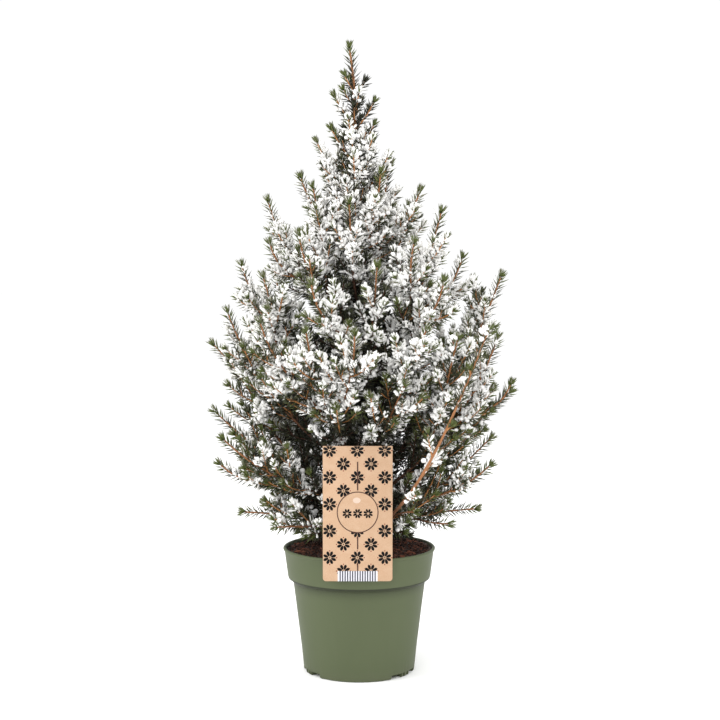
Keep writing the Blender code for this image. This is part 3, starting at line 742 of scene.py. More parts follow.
@dataclass
class Pot:
    """The moulded pot: deep collar, rolled lip and drains through its foot."""

    height: float = 0.122
    lip_radius: float = 0.0750
    lip_height: float = 0.0032
    lip_proud: float = 0.0013
    collar_foot_radius: float = 0.0704
    collar_foot_z: float = 0.0937
    body_top_radius: float = 0.0651
    body_top_z: float = 0.0889
    base_radius: float = 0.0541
    wall: float = 0.0016
    floor_z: float = 0.0060
    foot_ring: float = 0.0110
    foot_recess: float = 0.0012
    soft: float = 0.0012
    sides: int = 144
    drain_groups: int = 3
    drain_azimuth: float = -34.6
    drain_height: float = 0.0040
    drain_depth: float = 0.0080
    mouth_width: float = 0.0140
    mouth_offset: float = 13.5
    slot_width: float = 0.0030
    slot_offsets: Row = (-3.2, 3.2)
    lip_steps: int = 7
    lip_from: float = -60.0
    lip_turn: float = 40.0
    edge: float = 0.00025

    @property
    def collar_top_radius(self) -> float:
        """Radius of the collar under its lip."""
        return self.lip_radius - self.lip_proud

    def inner_radius(self, height: float) -> float:
        """Return the inside radius at a height."""
        heights = (0.0, self.body_top_z, self.collar_foot_z, self.height)
        radii = (self.base_radius, self.body_top_radius, self.collar_foot_radius, self.collar_top_radius)
        return float(np.interp(height, heights, radii)) - self.wall

    def outline(self) -> list[Pair]:
        """Return the section from the recess underneath, up the outside and down to the floor inside."""
        soft = self.soft
        base, body, collar = self.base_radius, self.body_top_radius, self.collar_foot_radius
        shelf, step_z = self.body_top_z, self.collar_foot_z
        lip_foot = self.height - self.lip_height
        roll = self.lip_height / 2
        lip_mid = self.lip_radius - roll
        points = [
            (base - self.foot_ring, self.foot_recess),
            (base - self.foot_ring + soft, 0.0),
            (base - soft / 2, 0.0),
            (base + soft / 5, soft / 3),
            (base + soft / 2, soft),
        ]
        points += [(base + (body - base) * share, shelf * share) for share in (0.25, 0.5, 0.75)]
        points += [
            (body, shelf - soft),
            (body + soft * 0.4, shelf - soft * 0.3),
            (body + soft, shelf),
            (collar - soft * 1.6, step_z - soft * 2.3),
            (collar - soft * 0.5, step_z - soft * 1.6),
            (collar, step_z),
            ((collar + self.collar_top_radius) / 2, (step_z + lip_foot) / 2),
            (self.collar_top_radius, lip_foot - soft * 0.4),
            (self.collar_top_radius + soft * 0.3, lip_foot),
        ]
        for step in range(self.lip_steps):
            turn = math.radians(self.lip_from + self.lip_turn * step)
            points.append((lip_mid + roll * math.cos(turn), self.height - roll + roll * math.sin(turn)))
        for height in (lip_foot, step_z, shelf, self.floor_z + soft):
            points.append((self.inner_radius(height), height))
        points.append((self.inner_radius(self.floor_z) - soft, self.floor_z))
        return points

    def drains(self) -> list[Workpiece]:
        """Return the blocks that open the drains: in each group two slots between two mouths."""
        openings = [(side * self.mouth_offset, self.mouth_width) for side in (-1, 1)]
        openings += [(offset, self.slot_width) for offset in self.slot_offsets]
        blocks = []
        for group in range(self.drain_groups):
            for offset, width in openings:
                azimuth = self.drain_azimuth + group * 360.0 / self.drain_groups + offset
                turn = math.radians(azimuth)
                place = (self.base_radius * math.cos(turn), self.base_radius * math.sin(turn), 0.0)
                size = (self.drain_depth * 2, width, self.drain_height * 2)
                blocks.append(Workpiece.block("drain", place, size, azimuth))
        return [blocks[0].join(blocks[1:])]

    def build(self) -> None:
        """Make and dress the pot."""
        outline = self.outline()
        pot = Workpiece.disc("pot_shell", self.sides, outline[0][0], (0.0, 0.0, outline[0][1]))
        pot.turn_up(outline).cut(self.drains())
        pot.ease(self.edge)
        dress(pot.item, MouldedPlastic().make(), ["pot"])


@dataclass(frozen=True)
class Litter:
    """One kind of small solid on the compost: half lengths, proportions and how freely it turns."""

    name: str
    count: int
    seed: int
    sizes: Pair
    shape: Triple
    freedom: float
    colour: Colour


LITTER = (
    Litter("crumbs_dark", 2400, 7, (0.0005, 0.0018), (1.0, 0.8, 0.6), 0.9, linear(40, 26, 21)),
    Litter("crumbs_brown", 1200, 8, (0.0006, 0.0024), (1.0, 0.7, 0.5), 0.9, linear(78, 47, 36)),
    Litter("chips_red", 300, 9, (0.0022, 0.0056), (1.0, 0.42, 0.26), 0.55, linear(104, 62, 46)),
    Litter("chips_dark", 300, 10, (0.0020, 0.0048), (1.0, 0.42, 0.28), 0.50, linear(54, 34, 27)),
    Litter("fibres_pale", 75, 11, (0.0030, 0.0075), (1.0, 0.08, 0.07), 0.35, linear(132, 88, 64)),
)


@dataclass
class Compost:
    """The mound of peat with its crumbs, chips and fibres."""

    pot: Pot
    crown_z: float = 0.1215
    edge_z: float = 0.1190
    foot_z: float = 0.0950
    clearance: float = 0.0006
    lump_height: float = 0.0016
    heap_height: float = 0.0055
    heap_radius: float = 0.040
    heap_x: float = 0.018
    lumps: float = 95.0
    rings: int = 20
    sides: int = 96
    small_bias: float = 2.2
    least_thickness: float = 0.35
    wobble: float = 0.3
    bedding: float = 0.4

    def surface_z(self, x: Array, y: Array) -> Array:
        """Return the lumpy mound's height over a place."""
        reach = self.pot.inner_radius(self.edge_z)
        share = np.clip(np.hypot(x, y) / reach, 0.0, 1.0)
        plain = self.crown_z + (self.edge_z - self.crown_z) * share ** 2
        lumps = [noise.noise(Vector((a * self.lumps, b * self.lumps, 3.0)))
                 for a, b in zip(np.ravel(x), np.ravel(y))]
        heaped = self.heap_height * np.exp(-((x - self.heap_x) ** 2 + y ** 2) / self.heap_radius ** 2)
        return plain + heaped + self.lump_height * np.reshape(lumps, np.shape(x))

    def _mound(self) -> Workpiece:
        """Make the mound."""
        reach = self.pot.inner_radius(self.foot_z) - self.clearance
        edge = self.pot.inner_radius(self.edge_z) - self.clearance
        outline = [(reach, self.foot_z), (edge, self.edge_z)]
        outline += [(edge * (1.0 - ring / self.rings), self.edge_z) for ring in range(1, self.rings)]
        mound = Workpiece.disc("peat_mound", self.sides, reach, (0.0, 0.0, self.foot_z))
        mound.turn_up(outline)
        for vert in mound.item.data.vertices:
            if vert.co.z > self.edge_z - GAP:
                vert.co.z = float(self.surface_z(np.array(vert.co.x), np.array(vert.co.y)))
        return mound.smooth(60.0)

    def _scatter(self, litter: Litter) -> Solid:
        """Strew one kind of litter over the mound.

        Args:
            litter: Its kind.

        Returns:
            Points and triangles.
        """
        dice = np.random.default_rng(litter.seed)
        points, faces = small_ball()
        least, most = litter.sizes
        reach = self.pot.inner_radius(self.edge_z) - self.clearance - most * max(litter.shape)
        radius = reach * np.sqrt(dice.uniform(0.01, 1.0, litter.count))
        azimuth = dice.uniform(0.0, math.tau, litter.count)
        x, y = radius * np.cos(azimuth), radius * np.sin(azimuth)
        size = least + (most - least) * dice.uniform(0.0, 1.0, litter.count) ** self.small_bias
        turns = random_turns(litter.count, dice)
        turns[:, 2, :] *= litter.freedom
        turns[:, 2, 2] = np.maximum(np.abs(turns[:, 2, 2]), self.least_thickness)
        turns *= np.array(litter.shape)[None, None, :] * size[:, None, None]
        wobble = 1.0 + self.wobble * dice.uniform(-1.0, 1.0, (len(points), 1))
        places = np.stack((x, y, self.surface_z(x, y) + size * min(litter.shape) * self.bedding), axis=1)
        return copies(points * wobble, faces, turns, places)

    def build(self) -> None:
        """Make and dress the compost."""
        dress(self._mound().item, Peat().make(), ["soil"])
        for litter in LITTER:
            heap = Heap()
            heap.add(*self._scatter(litter))
            finish = PlainFinish(litter.name, litter.colour, 0.9, 0.25).make()
            for item in heap.pour(litter.name, smooth=False):
                dress(item, finish)


@dataclass
class Label:
    """The card on its hook, printed with stars, a bauble on a thread and plain stripes."""

    width: float = 0.0652
    bottom_z: float = 0.1024
    top_z: float = 0.2296
    thickness: float = 0.0008
    x: float = -0.0014
    back_y: float = -0.0753
    corner: float = 0.0030
    star_radius: float = 0.0066
    star_columns: Row = (0.099, 0.296, 0.4945, 0.692, 0.889)
    star_rows: int = 10
    star_row: float = 0.01260
    star_first: float = 0.0042
    petal_half_width: float = 0.00136
    petal_foot: float = 0.0012
    petal_sides: int = 12
    petal_blank: float = 0.86
    petal_point: float = 0.14
    petal_swell: float = 0.18
    star_overlap: float = 0.4
    star_trim: float = 0.0002
    ring_radius: float = 0.0186
    ring_line: float = 0.0009
    ring_z: float = 0.1674
    ring_sides: int = 96
    small_star: float = 0.72
    small_star_pitch: float = 0.0098
    small_star_drop: float = 0.0012
    small_star_layers: float = 2.5
    dot_radius: float = 0.00070
    dot_reach: float = 0.98
    dot_margin: float = 0.0004
    glint_x: float = -0.0008
    glint_rise: float = 0.0112
    glint_size: Pair = (0.0036, 0.0027)
    glint_sides: int = 24
    glint_layers: float = 3.5
    thread_runs: tuple[Pair, ...] = ((0.116, 0.327), (0.667, 0.763), (0.863, 0.923))
    thread_width: float = 1.3
    stripes: int = 15
    stripes_margin: float = 0.0022
    panel_width: float = 0.0373
    panel_height: float = 0.0096
    print_proud: float = 0.00006
    hook_width: float = 0.0120
    hook_thickness: float = 0.0012
    hook_drop: float = 0.0026
    card_edge: float = 0.00012
    hook_edge: float = 0.0003

    @property
    def front_y(self) -> float:
        """The card's printed side."""
        return self.back_y - self.thickness

    def _plate(self, name: str, centre: Pair, size: Pair, layer: int) -> Workpiece:
        """Add a thin printed block.

        Args:
            name: Its name.
            centre: Its centre across and up.
            size: Its width and height.
            layer: How many layers of print it stands proud.

        Returns:
            The workpiece.
        """
        deep = self.print_proud * (layer + 1)
        place = (centre[0], self.front_y + self.print_proud - deep / 2, centre[1])
        return Workpiece.block(name, place, (size[0], deep, size[1]))

    def _card(self) -> Workpiece:
        """Make the card with two rounded corners at its foot."""
        middle = (self.bottom_z + self.top_z) / 2
        place = (self.x, self.back_y - self.thickness / 2, middle)
        card = Workpiece.block("label_card", place, (self.width, self.thickness, self.top_z - self.bottom_z))
        card.edit()
        card.pick("EDGE", lambda edge: abs(edge.verts[0].co.y - edge.verts[1].co.y) > self.thickness / 2
                  and edge.verts[0].co.z < middle)
        bpy.ops.mesh.bevel(offset=self.corner, segments=8, affect="EDGES")
        card.close()
        return card.ease(self.card_edge)

    def _hook(self, pot: Pot) -> Workpiece:
        """Make the hook: a leg inside the pot, drawn up and forward to the card over the lip."""
        toe = pot.height - self.hook_drop
        seat = pot.height + GAP
        inside = -pot.inner_radius(toe) + GAP + self.hook_thickness
        place = (self.x, inside, (toe + seat) / 2)
        hook = Workpiece.block("label_hook", place, (self.hook_width, self.hook_thickness, seat - toe))
        hook.edit()
        hook.pick("FACE", lambda face: face.normal.z > 0.9)
        bpy.ops.mesh.extrude_region_move(TRANSFORM_OT_translate={"value": (0.0, 0.0, self.hook_thickness)})
        hook.pick("FACE", lambda face: face.normal.y < -0.9 and face.calc_center_median().z > seat)
        reach = self.back_y - (inside - self.hook_thickness / 2)
        bpy.ops.mesh.extrude_region_move(TRANSFORM_OT_translate={"value": (0.0, reach, 0.0)})
        hook.close()
        return hook.ease(self.hook_edge)

    def _petal(self) -> Workpiece:
        """Make one pointed petal above the card's origin."""
        half_length = (self.star_radius - self.petal_foot) / 2
        middle = self.petal_foot + half_length
        blank = half_length * self.petal_blank
        place = (0.0, self.front_y + self.print_proud, middle)
        petal = Workpiece.disc("petal", self.petal_sides, blank, place, True)
        petal.edit()
        narrow = self.petal_half_width / blank
        bpy.ops.transform.resize(value=(narrow, 1.0, 1.0), center_override=(0.0, self.front_y, middle))
        for side in (1, -1):
            tip = middle + side * blank
            petal.pick("VERT", lambda vert: abs(vert.co.z - tip) < half_length * 0.05)
            bpy.ops.transform.translate(value=(0.0, 0.0, side * half_length * self.petal_point))
        petal.pick("VERT", lambda vert: abs(vert.co.z - middle) < half_length * 0.5)
        bpy.ops.transform.translate(value=(0.0, 0.0, half_length * self.petal_swell))
        petal.close()
        return petal.thicken_front(2 * self.print_proud)

    def _star(self, scale: float = 1.0) -> Solid:
        """Return the points and triangles of one eight-petalled star round the origin.

        Args:
            scale: Its size beside the common one.

        Returns:
            Points and triangles.
        """
        petal = self._petal()
        petal.modify("TRIANGULATE")
        points = np.array([tuple(vert.co) for vert in petal.item.data.vertices])
        faces = np.array([list(face.vertices) for face in petal.item.data.polygons])
        bpy.data.objects.remove(petal.item)
        turns = [np.array(Matrix.Rotation(math.radians(22.5 + 45.0 * step), 3, "Y")) for step in range(8)]
        size = np.diag((scale, 1.0, scale))
        return copies(points, faces, np.array([turn @ size for turn in turns]), np.zeros((8, 3)))

    def _star_places(self) -> list[Pair]:
        """Return the stars' centres across and up: rows of three and two in turn, clear of the bauble."""
        places = []
        left = self.x - self.width / 2
        clear = self.ring_radius - self.star_radius * self.star_overlap
        for row in range(self.star_rows):
            columns = self.star_columns[0::2] if row % 2 == 0 else self.star_columns[1::2]
            height = self.top_z - self.star_first - row * self.star_row
            for share in columns:
                across = left + share * self.width
                if math.hypot(across - self.x, height - self.ring_z) > clear:
                    places.append((across, height))
        return places

    def _stars(self) -> Item:
        """Make all the stars, each with an eye in its middle, trimmed where they pass the card's top."""
        places = np.array([(across, 0.0, height) for across, height in self._star_places()])
        heap = Heap()
        heap.add(*upright(self._star(), places))
        heap.add(*upright(self._dot(), places + np.array((0.0, self.front_y, 0.0))))
        stars = heap.pour("label_stars", smooth=False)[0]
        take_up(stars)
        bpy.ops.object.mode_set(mode="EDIT")
        bpy.ops.mesh.select_all(action="SELECT")
        bpy.ops.mesh.bisect(plane_co=(0.0, 0.0, self.top_z - self.star_trim), plane_no=(0.0, 0.0, 1.0),
                            clear_outer=True, use_fill=True)
        bpy.ops.object.mode_set(mode="OBJECT")
        return stars

    def _dot(self) -> Solid:
        """Return one flat dot round the origin."""
        points, faces = small_ball()
        return points * np.array((self.dot_radius, self.print_proud, self.dot_radius)), faces

    def _dots(self) -> Item:
        """Make the four tiny dots round each star."""
        reach = self.star_radius * self.dot_reach
        turns = [math.radians(turn) for turn in (0, 90, 180, 270)]
        offsets = [(math.cos(turn) * reach, math.sin(turn) * reach) for turn in turns]
        limit = self.width / 2 - GAP
        places = [(x + dx, self.front_y, z + dz) for x, z in self._star_places() for dx, dz in offsets
                  if abs(x + dx - self.x) < limit and z + dz < self.top_z - self.dot_margin]
        heap = Heap()
        heap.add(*upright(self._dot(), np.array(places)))
        return heap.pour("label_dots", smooth=False)[0]

    def _bauble(self) -> tuple[Workpiece, Workpiece, Workpiece, Workpiece]:
        """Make the bauble's disc, its ring, its thread and its pale highlight."""
        centre = (self.x, self.front_y + self.print_proud, self.ring_z)
        disc = Workpiece.disc("label_bauble", self.ring_sides, self.ring_radius, centre, True)
        disc.thicken_front(3 * self.print_proud)
        ring = Workpiece.disc("label_ring", self.ring_sides, self.ring_radius, centre, True, False)
        ring.edit()
        bpy.ops.mesh.select_mode(type="EDGE")
        bpy.ops.mesh.select_all(action="SELECT")
        bpy.ops.mesh.extrude_edges_move()
        ratio = 1.0 + self.ring_line / self.ring_radius
        bpy.ops.transform.resize(value=(ratio, 1.0, ratio), center_override=centre)
        ring.close()
        ring.thicken_front(4 * self.print_proud)
        glint_place = (self.x + self.glint_x, centre[1], self.ring_z + self.glint_rise)
        glint = Workpiece.disc("label_glint", self.glint_sides, self.glint_size[0], glint_place, True)
        glint.edit()
        bpy.ops.transform.resize(value=(1.0, 1.0, self.glint_size[1] / self.glint_size[0]),
                                 center_override=glint_place)
        glint.close()
        glint.thicken_front(self.glint_layers * self.print_proud)
        tall = self.top_z - self.bottom_z
        threads = []
        for start, end in self.thread_runs:
            middle = self.top_z - (start + end) / 2 * tall
            size = (self.ring_line * self.thread_width, (end - start) * tall)
            threads.append(self._plate("label_thread", (self.x, middle), size, 3))
        return disc, ring, threads[0].join(threads[1:]), glint

    def _panel(self) -> tuple[Workpiece, Workpiece]:
        """Make the white panel at the card's foot and its even stripes."""
        middle = self.bottom_z + self.panel_height / 2
        panel = self._plate("label_panel", (self.x, middle), (self.panel_width, self.panel_height), 3)
        pitch = (self.panel_width - self.stripes_margin) / self.stripes
        stripes = []
        for number in range(self.stripes):
            across = self.x + (number - (self.stripes - 1) / 2) * pitch
            stripes.append(self._plate("label_stripes", (across, middle), (pitch / 2, self.panel_height), 4))
        return panel, stripes[0].join(stripes[1:])

    def _centre_stars(self) -> Item:
        """Make the three small stars across the bauble."""
        depth = -self.small_star_layers * self.print_proud
        height = self.ring_z - self.small_star_drop
        places = [(self.x + step * self.small_star_pitch, depth, height) for step in (-1, 0, 1)]
        heap = Heap()
        heap.add(*upright(self._star(self.small_star), np.array(places)))
        return heap.pour("label_bauble_stars", smooth=False)[0]

    def build(self, pot: Pot) -> None:
        """Make and dress the label."""
        card = CardStock().make()
        ink = PlainFinish("black_ink", linear(11, 9, 9), 0.7, 0.15).make()
        fine_ink = PlainFinish("brown_ink", linear(70, 46, 38), 0.6, 0.2).make()
        rust = PlainFinish("rust_ink", linear(118, 54, 32), 0.6).make()
        pale = PlainFinish("pale_ink", linear(200, 178, 160), 0.6).make()
        white = PlainFinish("white_panel", linear(214, 214, 220), 0.55).make()
        grey = PlainFinish("grey_ink", linear(62, 62, 74), 0.55, 0.2).make()
        dress(self._card().item, card, ["label"])
        dress(self._hook(pot).item, card)
        disc, ring, thread, glint = self._bauble()
        panel, stripes = self._panel()
        for item, finish in ((self._stars(), ink), (self._centre_stars(), ink), (self._dots(), rust),
                             (disc.item, card), (ring.item, fine_ink), (thread.item, fine_ink),
                             (glint.item, pale), (panel.item, white), (stripes.item, grey)):
            dress(item, finish)


@dataclass(frozen=True)
class Tier:
    """How one tier's limbs leave and arrive, in degrees above level, and whether they start bare."""

    leave: float
    arrive: float
    shoots: float
    bare: bool


class TierName(Enum):
    """The tiers of limbs, lowest first."""

    SKIRT = Tier(14.0, 4.0, 0.90, True)
    LOWER = Tier(24.0, 44.0, 1.00, True)
    MIDDLE = Tier(34.0, 70.0, 1.00, True)
    UPPER = Tier(38.0, 73.0, 0.80, False)
    INNER = Tier(30.0, 78.0, 0.75, False)


@dataclass(frozen=True)
class Limb:
    """One limb: its tier, azimuth, foot and tip heights, and share of reach."""

    tier: Tier
    azimuth: float
    foot_z: float
    tip_z: float
    share: float


@dataclass(frozen=True)
class Fork:
    """A second spire of a limb: where it leaves, its azimuth, tip height and share of reach."""

    limb: str
    at: float
    azimuth: float
    tip_z: float
    share: float


@dataclass
class Shoot:
    """A stem, side shoot or twig: its line from its foot, its radii, its turn and its order from the stem."""

    mass: str
    line: Array
    radii: Pair
    roll: float
    order: int
    bare_foot: float = 0.0


LIMBS = {
    TierName.SKIRT: (
        (-3, 0.140, 0.160, 1.00), (-56, 0.133, 0.168, 0.80), (-140, 0.136, 0.152, 0.94),
        (183, 0.142, 0.157, 1.00), (122, 0.134, 0.158, 0.98), (60, 0.137, 0.160, 1.00),
    ),
    TierName.LOWER: (
        (-22, 0.150, 0.212, 0.99), (9, 0.168, 0.277, 1.03), (-68, 0.205, 0.292, 0.74),
        (-155, 0.159, 0.238, 1.00), (177, 0.167, 0.258, 0.98), (153, 0.1475, 0.205, 1.00),
        (88, 0.156, 0.236, 0.94),
    ),
    TierName.MIDDLE: (
        (-8, 0.184, 0.393, 1.02), (34, 0.177, 0.325, 0.98), (-114, 0.200, 0.342, 0.80),
        (189, 0.194, 0.358, 0.89), (144, 0.1745, 0.322, 1.00), (108, 0.196, 0.352, 0.88),
        (-19, 0.160, 0.334, 0.93),
    ),
    TierName.UPPER: (
        (168, 0.262, 0.404, 0.94), (66, 0.250, 0.392, 0.86), (4, 0.300, 0.411, 0.84),
        (-78, 0.268, 0.402, 0.62), (-24, 0.272, 0.454, 0.98), (182, 0.338, 0.466, 1.12),
        (-134, 0.310, 0.432, 0.80), (98, 0.322, 0.440, 0.84), (44, 0.360, 0.464, 0.86),
        (-4, 0.398, 0.476, 0.84), (172, 0.408, 0.490, 1.00), (128, 0.376, 0.468, 0.80),
    ),
    TierName.INNER: (
        (-102, 0.356, 0.462, 0.55), (-58, 0.405, 0.492, 0.70),
    ),
}
FORKS = (
    Fork("skirt_01", 0.34, -32, 0.153, 0.92), Fork("skirt_05", 0.34, 152, 0.156, 0.96),
    Fork("lower_01", 0.40, 2, 0.232, 0.93), Fork("lower_02", 0.36, 27, 0.237, 0.97),
    Fork("lower_04", 0.32, 194, 0.211, 1.02), Fork("lower_05", 0.30, 171, 0.324, 0.99),
    Fork("lower_07", 0.30, 70, 0.312, 0.90), Fork("lower_03", 0.36, -58, 0.342, 0.80),
    Fork("middle_07", 0.34, -45, 0.335, 0.86), Fork("middle_07", 0.52, -14, 0.290, 0.98),
    Fork("middle_03", 0.30, -92, 0.340, 0.80), Fork("middle_03", 0.34, -138, 0.350, 0.84),
    Fork("middle_05", 0.38, 126, 0.300, 0.86), Fork("middle_06", 0.36, 52, 0.330, 0.68),
    Fork("middle_02", 0.42, 20, 0.372, 0.88), Fork("middle_04", 0.40, -152, 0.392, 0.76),
    Fork("upper_05", 0.26, -50, 0.388, 0.88), Fork("upper_05", 0.42, -52, 0.424, 0.76),
    Fork("upper_04", 0.30, -112, 0.386, 0.84), Fork("upper_04", 0.44, -124, 0.380, 0.56),
    Fork("upper_01", 0.30, 142, 0.396, 0.82), Fork("upper_06", 0.24, 202, 0.424, 0.84),
    Fork("upper_12", 0.30, 112, 0.508, 0.72), Fork("upper_07", 0.30, -152, 0.478, 0.74),
    Fork("upper_09", 0.30, 26, 0.504, 0.74),
)
LEADER_SHOOTS = (
    (183, 0.463, 0.066), (-5, 0.460, 0.054), (-95, 0.466, 0.046), (80, 0.472, 0.050),
    (-50, 0.484, 0.043), (130, 0.490, 0.042), (192, 0.497, 0.040), (30, 0.506, 0.036),
    (-110, 0.512, 0.032), (90, 0.520, 0.032), (-2, 0.530, 0.032), (178, 0.535, 0.033),
    (-70, 0.546, 0.022), (95, 0.552, 0.022), (12, 0.562, 0.018), (200, 0.568, 0.016),
    (-80, 0.578, 0.013),
)
FOOT_SHOOTS = (
    (184, 0.136, 0.056), (204, 0.141, 0.060), (222, 0.136, 0.062), (168, 0.146, 0.058),
    (194, 0.150, 0.062), (-4, 0.138, 0.050), (-24, 0.142, 0.052), (-42, 0.137, 0.056),
    (14, 0.148, 0.048), (60, 0.140, 0.050), (98, 0.138, 0.054), (135, 0.141, 0.052),
    (188, 0.132, 0.058), (213, 0.132, 0.060), (176, 0.134, 0.054), (-14, 0.133, 0.044),
)
SWEEPING_BOUGH = (
    (0.001, -0.004, 0.136),
    (0.048, -0.088, 0.158),
    (0.082, -0.138, 0.258),
    (0.119, -0.090, 0.338),
)


def heading(azimuth: float, lift: float) -> Array:
    """Return the unit vector at an azimuth and an angle above level."""
    turn = math.radians(azimuth)
    rise = math.radians(lift)
    return np.array((math.cos(turn) * math.cos(rise), math.sin(turn) * math.cos(rise), math.sin(rise)))


def unit(vector: Array) -> Array:
    """Return vectors at length 1, along the last axis."""
    return vector / np.linalg.norm(vector, axis=-1, keepdims=True)


def bezier(first: Array, leaving: Array, arriving: Array, last: Array, count: int) -> Array:
    """Return points along a cubic curve, one row each, from its first point to its last by two handles."""
    t, s = (np.linspace(*ends, count)[:, None] for ends in ((0.0, 1.0), (1.0, 0.0)))
    return s ** 3 * first + 3 * s * s * t * leaving + 3 * s * t * t * arriving + t ** 3 * last


def line_length(line: Array) -> float:
    """Return a line's length."""
    return float(np.linalg.norm(np.diff(line, axis=0), axis=1).sum())


def evenly(line: Array, step: float) -> Array:
    """Return a line again with points about a step apart, its ends kept."""
    lengths = np.concatenate(([0.0], np.cumsum(np.linalg.norm(np.diff(line, axis=0), axis=1))))
    count = max(2, round(lengths[-1] / step) + 1)
    marks = np.linspace(0.0, lengths[-1], count)
    return np.stack([np.interp(marks, lengths, line[:, axis]) for axis in range(3)], axis=1)


def section_frames(line: Array) -> tuple[Array, Array, Array]:
    """Return the tangent of a line at each point, a level axis across it and a third axis that points up."""
    tangent = unit(np.gradient(line, axis=0))
    level = np.cross(tangent, UP)
    steep = np.linalg.norm(level, axis=1) < 0.12
    level[steep] = np.cross(tangent[steep], np.array((0.0, 1.0, 0.0)))
    level = unit(level)
    return tangent, level, np.cross(level, tangent)


@dataclass
class Crown:
    """The growth of the plant: the trunk's line, its limbs, and the shoots and twigs round them."""

    pot: Pot
    label: Label
    soil_z: float = 0.1215
    trunk_top_z: float = 0.608
    trunk_radii: tuple[Pair, ...] = (
        (0.000, 0.0088), (0.005, 0.0070), (0.014, 0.0060), (0.060, 0.0053), (0.150, 0.0043),
        (0.250, 0.0036), (0.350, 0.0029), (0.420, 0.0018), (0.490, 0.0008))
    lean: float = 0.0030
    sway: float = 0.0022
    sway_x_turns: float = 0.80
    sway_y_turns: float = 0.55
    tip_hook: float = 0.0040
    tip_hook_from: float = 0.93
    reach_table: tuple[Pair, ...] = (
        (0.130, 0.086), (0.155, 0.118), (0.205, 0.138), (0.260, 0.150), (0.300, 0.156), (0.345, 0.150),
        (0.395, 0.137), (0.430, 0.106), (0.470, 0.078), (0.500, 0.050), (0.540, 0.034), (0.575, 0.022),
        (0.617, 0.004))
    bough_foot_radius: float = 0.0026
    bough_end_radius: float = 0.0016
    fork_radius: float = 0.0013
    fork_bare_foot: float = 0.0250
    bare_share: float = 0.22
    stem_tip_radius: float = 0.0009
    shoot_radii: Pair = (0.0011, 0.0008)
    shoot_spacing: float = 0.0290
    shoot_length: float = 0.060
    shoot_taper: float = 0.50
    shoot_angle: float = 42.0
    shoot_rise: float = 0.70
    young_tip: float = 0.040
    tip_needle: float = 0.0070
    shortenings: int = 6
    shoot_reach_share: float = 0.92
    least_rise: float = -0.05
    shortening: float = 0.82
    roll_jitter: float = 12.0
    angle_jitter: float = 6.0
    length_jitter: float = 0.15
    twig_clearance: float = 0.0040
    leader_bottom_z: float = 0.448
    leader_lift: float = 46.0
    fine_spacing: float = 0.0080
    inner_length: float = 0.034
    inner_spacing: float = 0.0050
    skirt_sag: float = 0.030
    trunk_shoots_z: Pair = (0.150, 0.505)
    trunk_shoot: float = 0.062
    trunk_shoot_spacing: float = 0.0026
    foot_lift: float = 5.0
    foot_clearance: float = 0.0014
    sweep_radii: Pair = (0.0020, 0.0009)
    sweep_bare: float = 0.200
    sweep_scale: float = 0.55
    fine_clearance: float = 0.0034
    fine_radii: Pair = (0.0008, 0.0005)
    fine_share: float = 0.74
    twig_spacing: float = 0.0085
    twig_share: float = 0.42
    least_twig: float = 0.0080
    twig_growth: Pair = (1.0, -0.6)
    twig_span: Pair = (0.15, 0.62)
    twig_room: float = 0.85
    station: float = 0.0025
    room_step: float = 0.0050
    axis_points: int = 60
    leader_points: int = 48
    spire_points: int = 28
    shoot_points: int = 8
    fine_points: int = 6
    spire_handles: Pair = (0.36, 0.38)
    shoot_foot: float = 0.3
    shoot_bare_foot: float = 0.003
    fine_bare_foot: float = 0.002
    foot_bare_foot: float = 0.006
    fine_jitter: Pair = (0.75, 1.15)
    fine_from: float = 0.02
    leader_scale: float = 0.55
    inner_growth: Pair = (0.7, 0.5)
    inner_span: Pair = (0.22, 1.0)
    trunk_growth: Pair = (1.0, -0.45)
    points: Array = field(default_factory=lambda: np.zeros((CROWN_STATIONS, 3)))
    radii: Array = field(default_factory=lambda: np.zeros(CROWN_STATIONS))
    owners: Array = field(default_factory=lambda: np.zeros(CROWN_STATIONS, dtype=int))
    filled: int = 0
    masses: dict[str, int] = field(default_factory=dict)

    def trunk_axis(self, height: float) -> Array:
        """Return the trunk's centre at a height: a slight lean with one slow bend and a nodding tip."""
        share = (height - self.soil_z) / (self.trunk_top_z - self.soil_z)
        x = -self.lean * share + self.sway * math.sin(math.tau * self.sway_x_turns * share)
        x -= self.tip_hook * max(0.0, share - self.tip_hook_from) / (1.0 - self.tip_hook_from)
        return np.array((x, self.sway * math.sin(math.tau * self.sway_y_turns * share), height))

    def trunk_radius(self, height: float) -> float:
        """Return the trunk's radius at a height."""
        rises, radii = zip(*self.trunk_radii)
        return float(np.interp(height - self.soil_z - GAP, rises, radii))

    def reach(self, height: Array | float) -> Array:
        """Return how far the crown reaches from its axis at a height."""
        heights, radii = zip(*self.reach_table)
        return np.interp(height, heights, radii)

    def spire_line(self, foot: Array, along: Array | None, tier: Tier, spire: Limb | Fork) -> Array:
        """Return the points of a limb or a fork from its foot to its furthest tip.

        Args:
            foot: Where it leaves the trunk's axis or its limb's stem.
            along: The stem's direction there, or None for a limb.
            tier: Its tier.
            spire: The limb or fork.

        Returns:
            The points, one row each.
        """
        outline = heading(spire.azimuth, 0.0) * spire.share * self.reach(spire.tip_z)
        arriving = heading(spire.azimuth, tier.arrive)
        tip = outline + UP * spire.tip_z - arriving * self.tip_needle
        leaving = heading(spire.azimuth, tier.leave) if along is None else unit(along + unit(tip - foot))
        span = float(np.linalg.norm(tip - foot))
        first, last = self.spire_handles
        handles = foot + leaving * span * first, tip - arriving * span * last
        return bezier(foot, *handles, tip, self.spire_points)

    def limb_line(self, limb: Limb) -> Array:
        """Return the points of a limb from the trunk's axis to its furthest tip."""
        line = self.spire_line(self.trunk_axis(limb.foot_z), None, limb.tier, limb)
        return evenly(line, self.station)

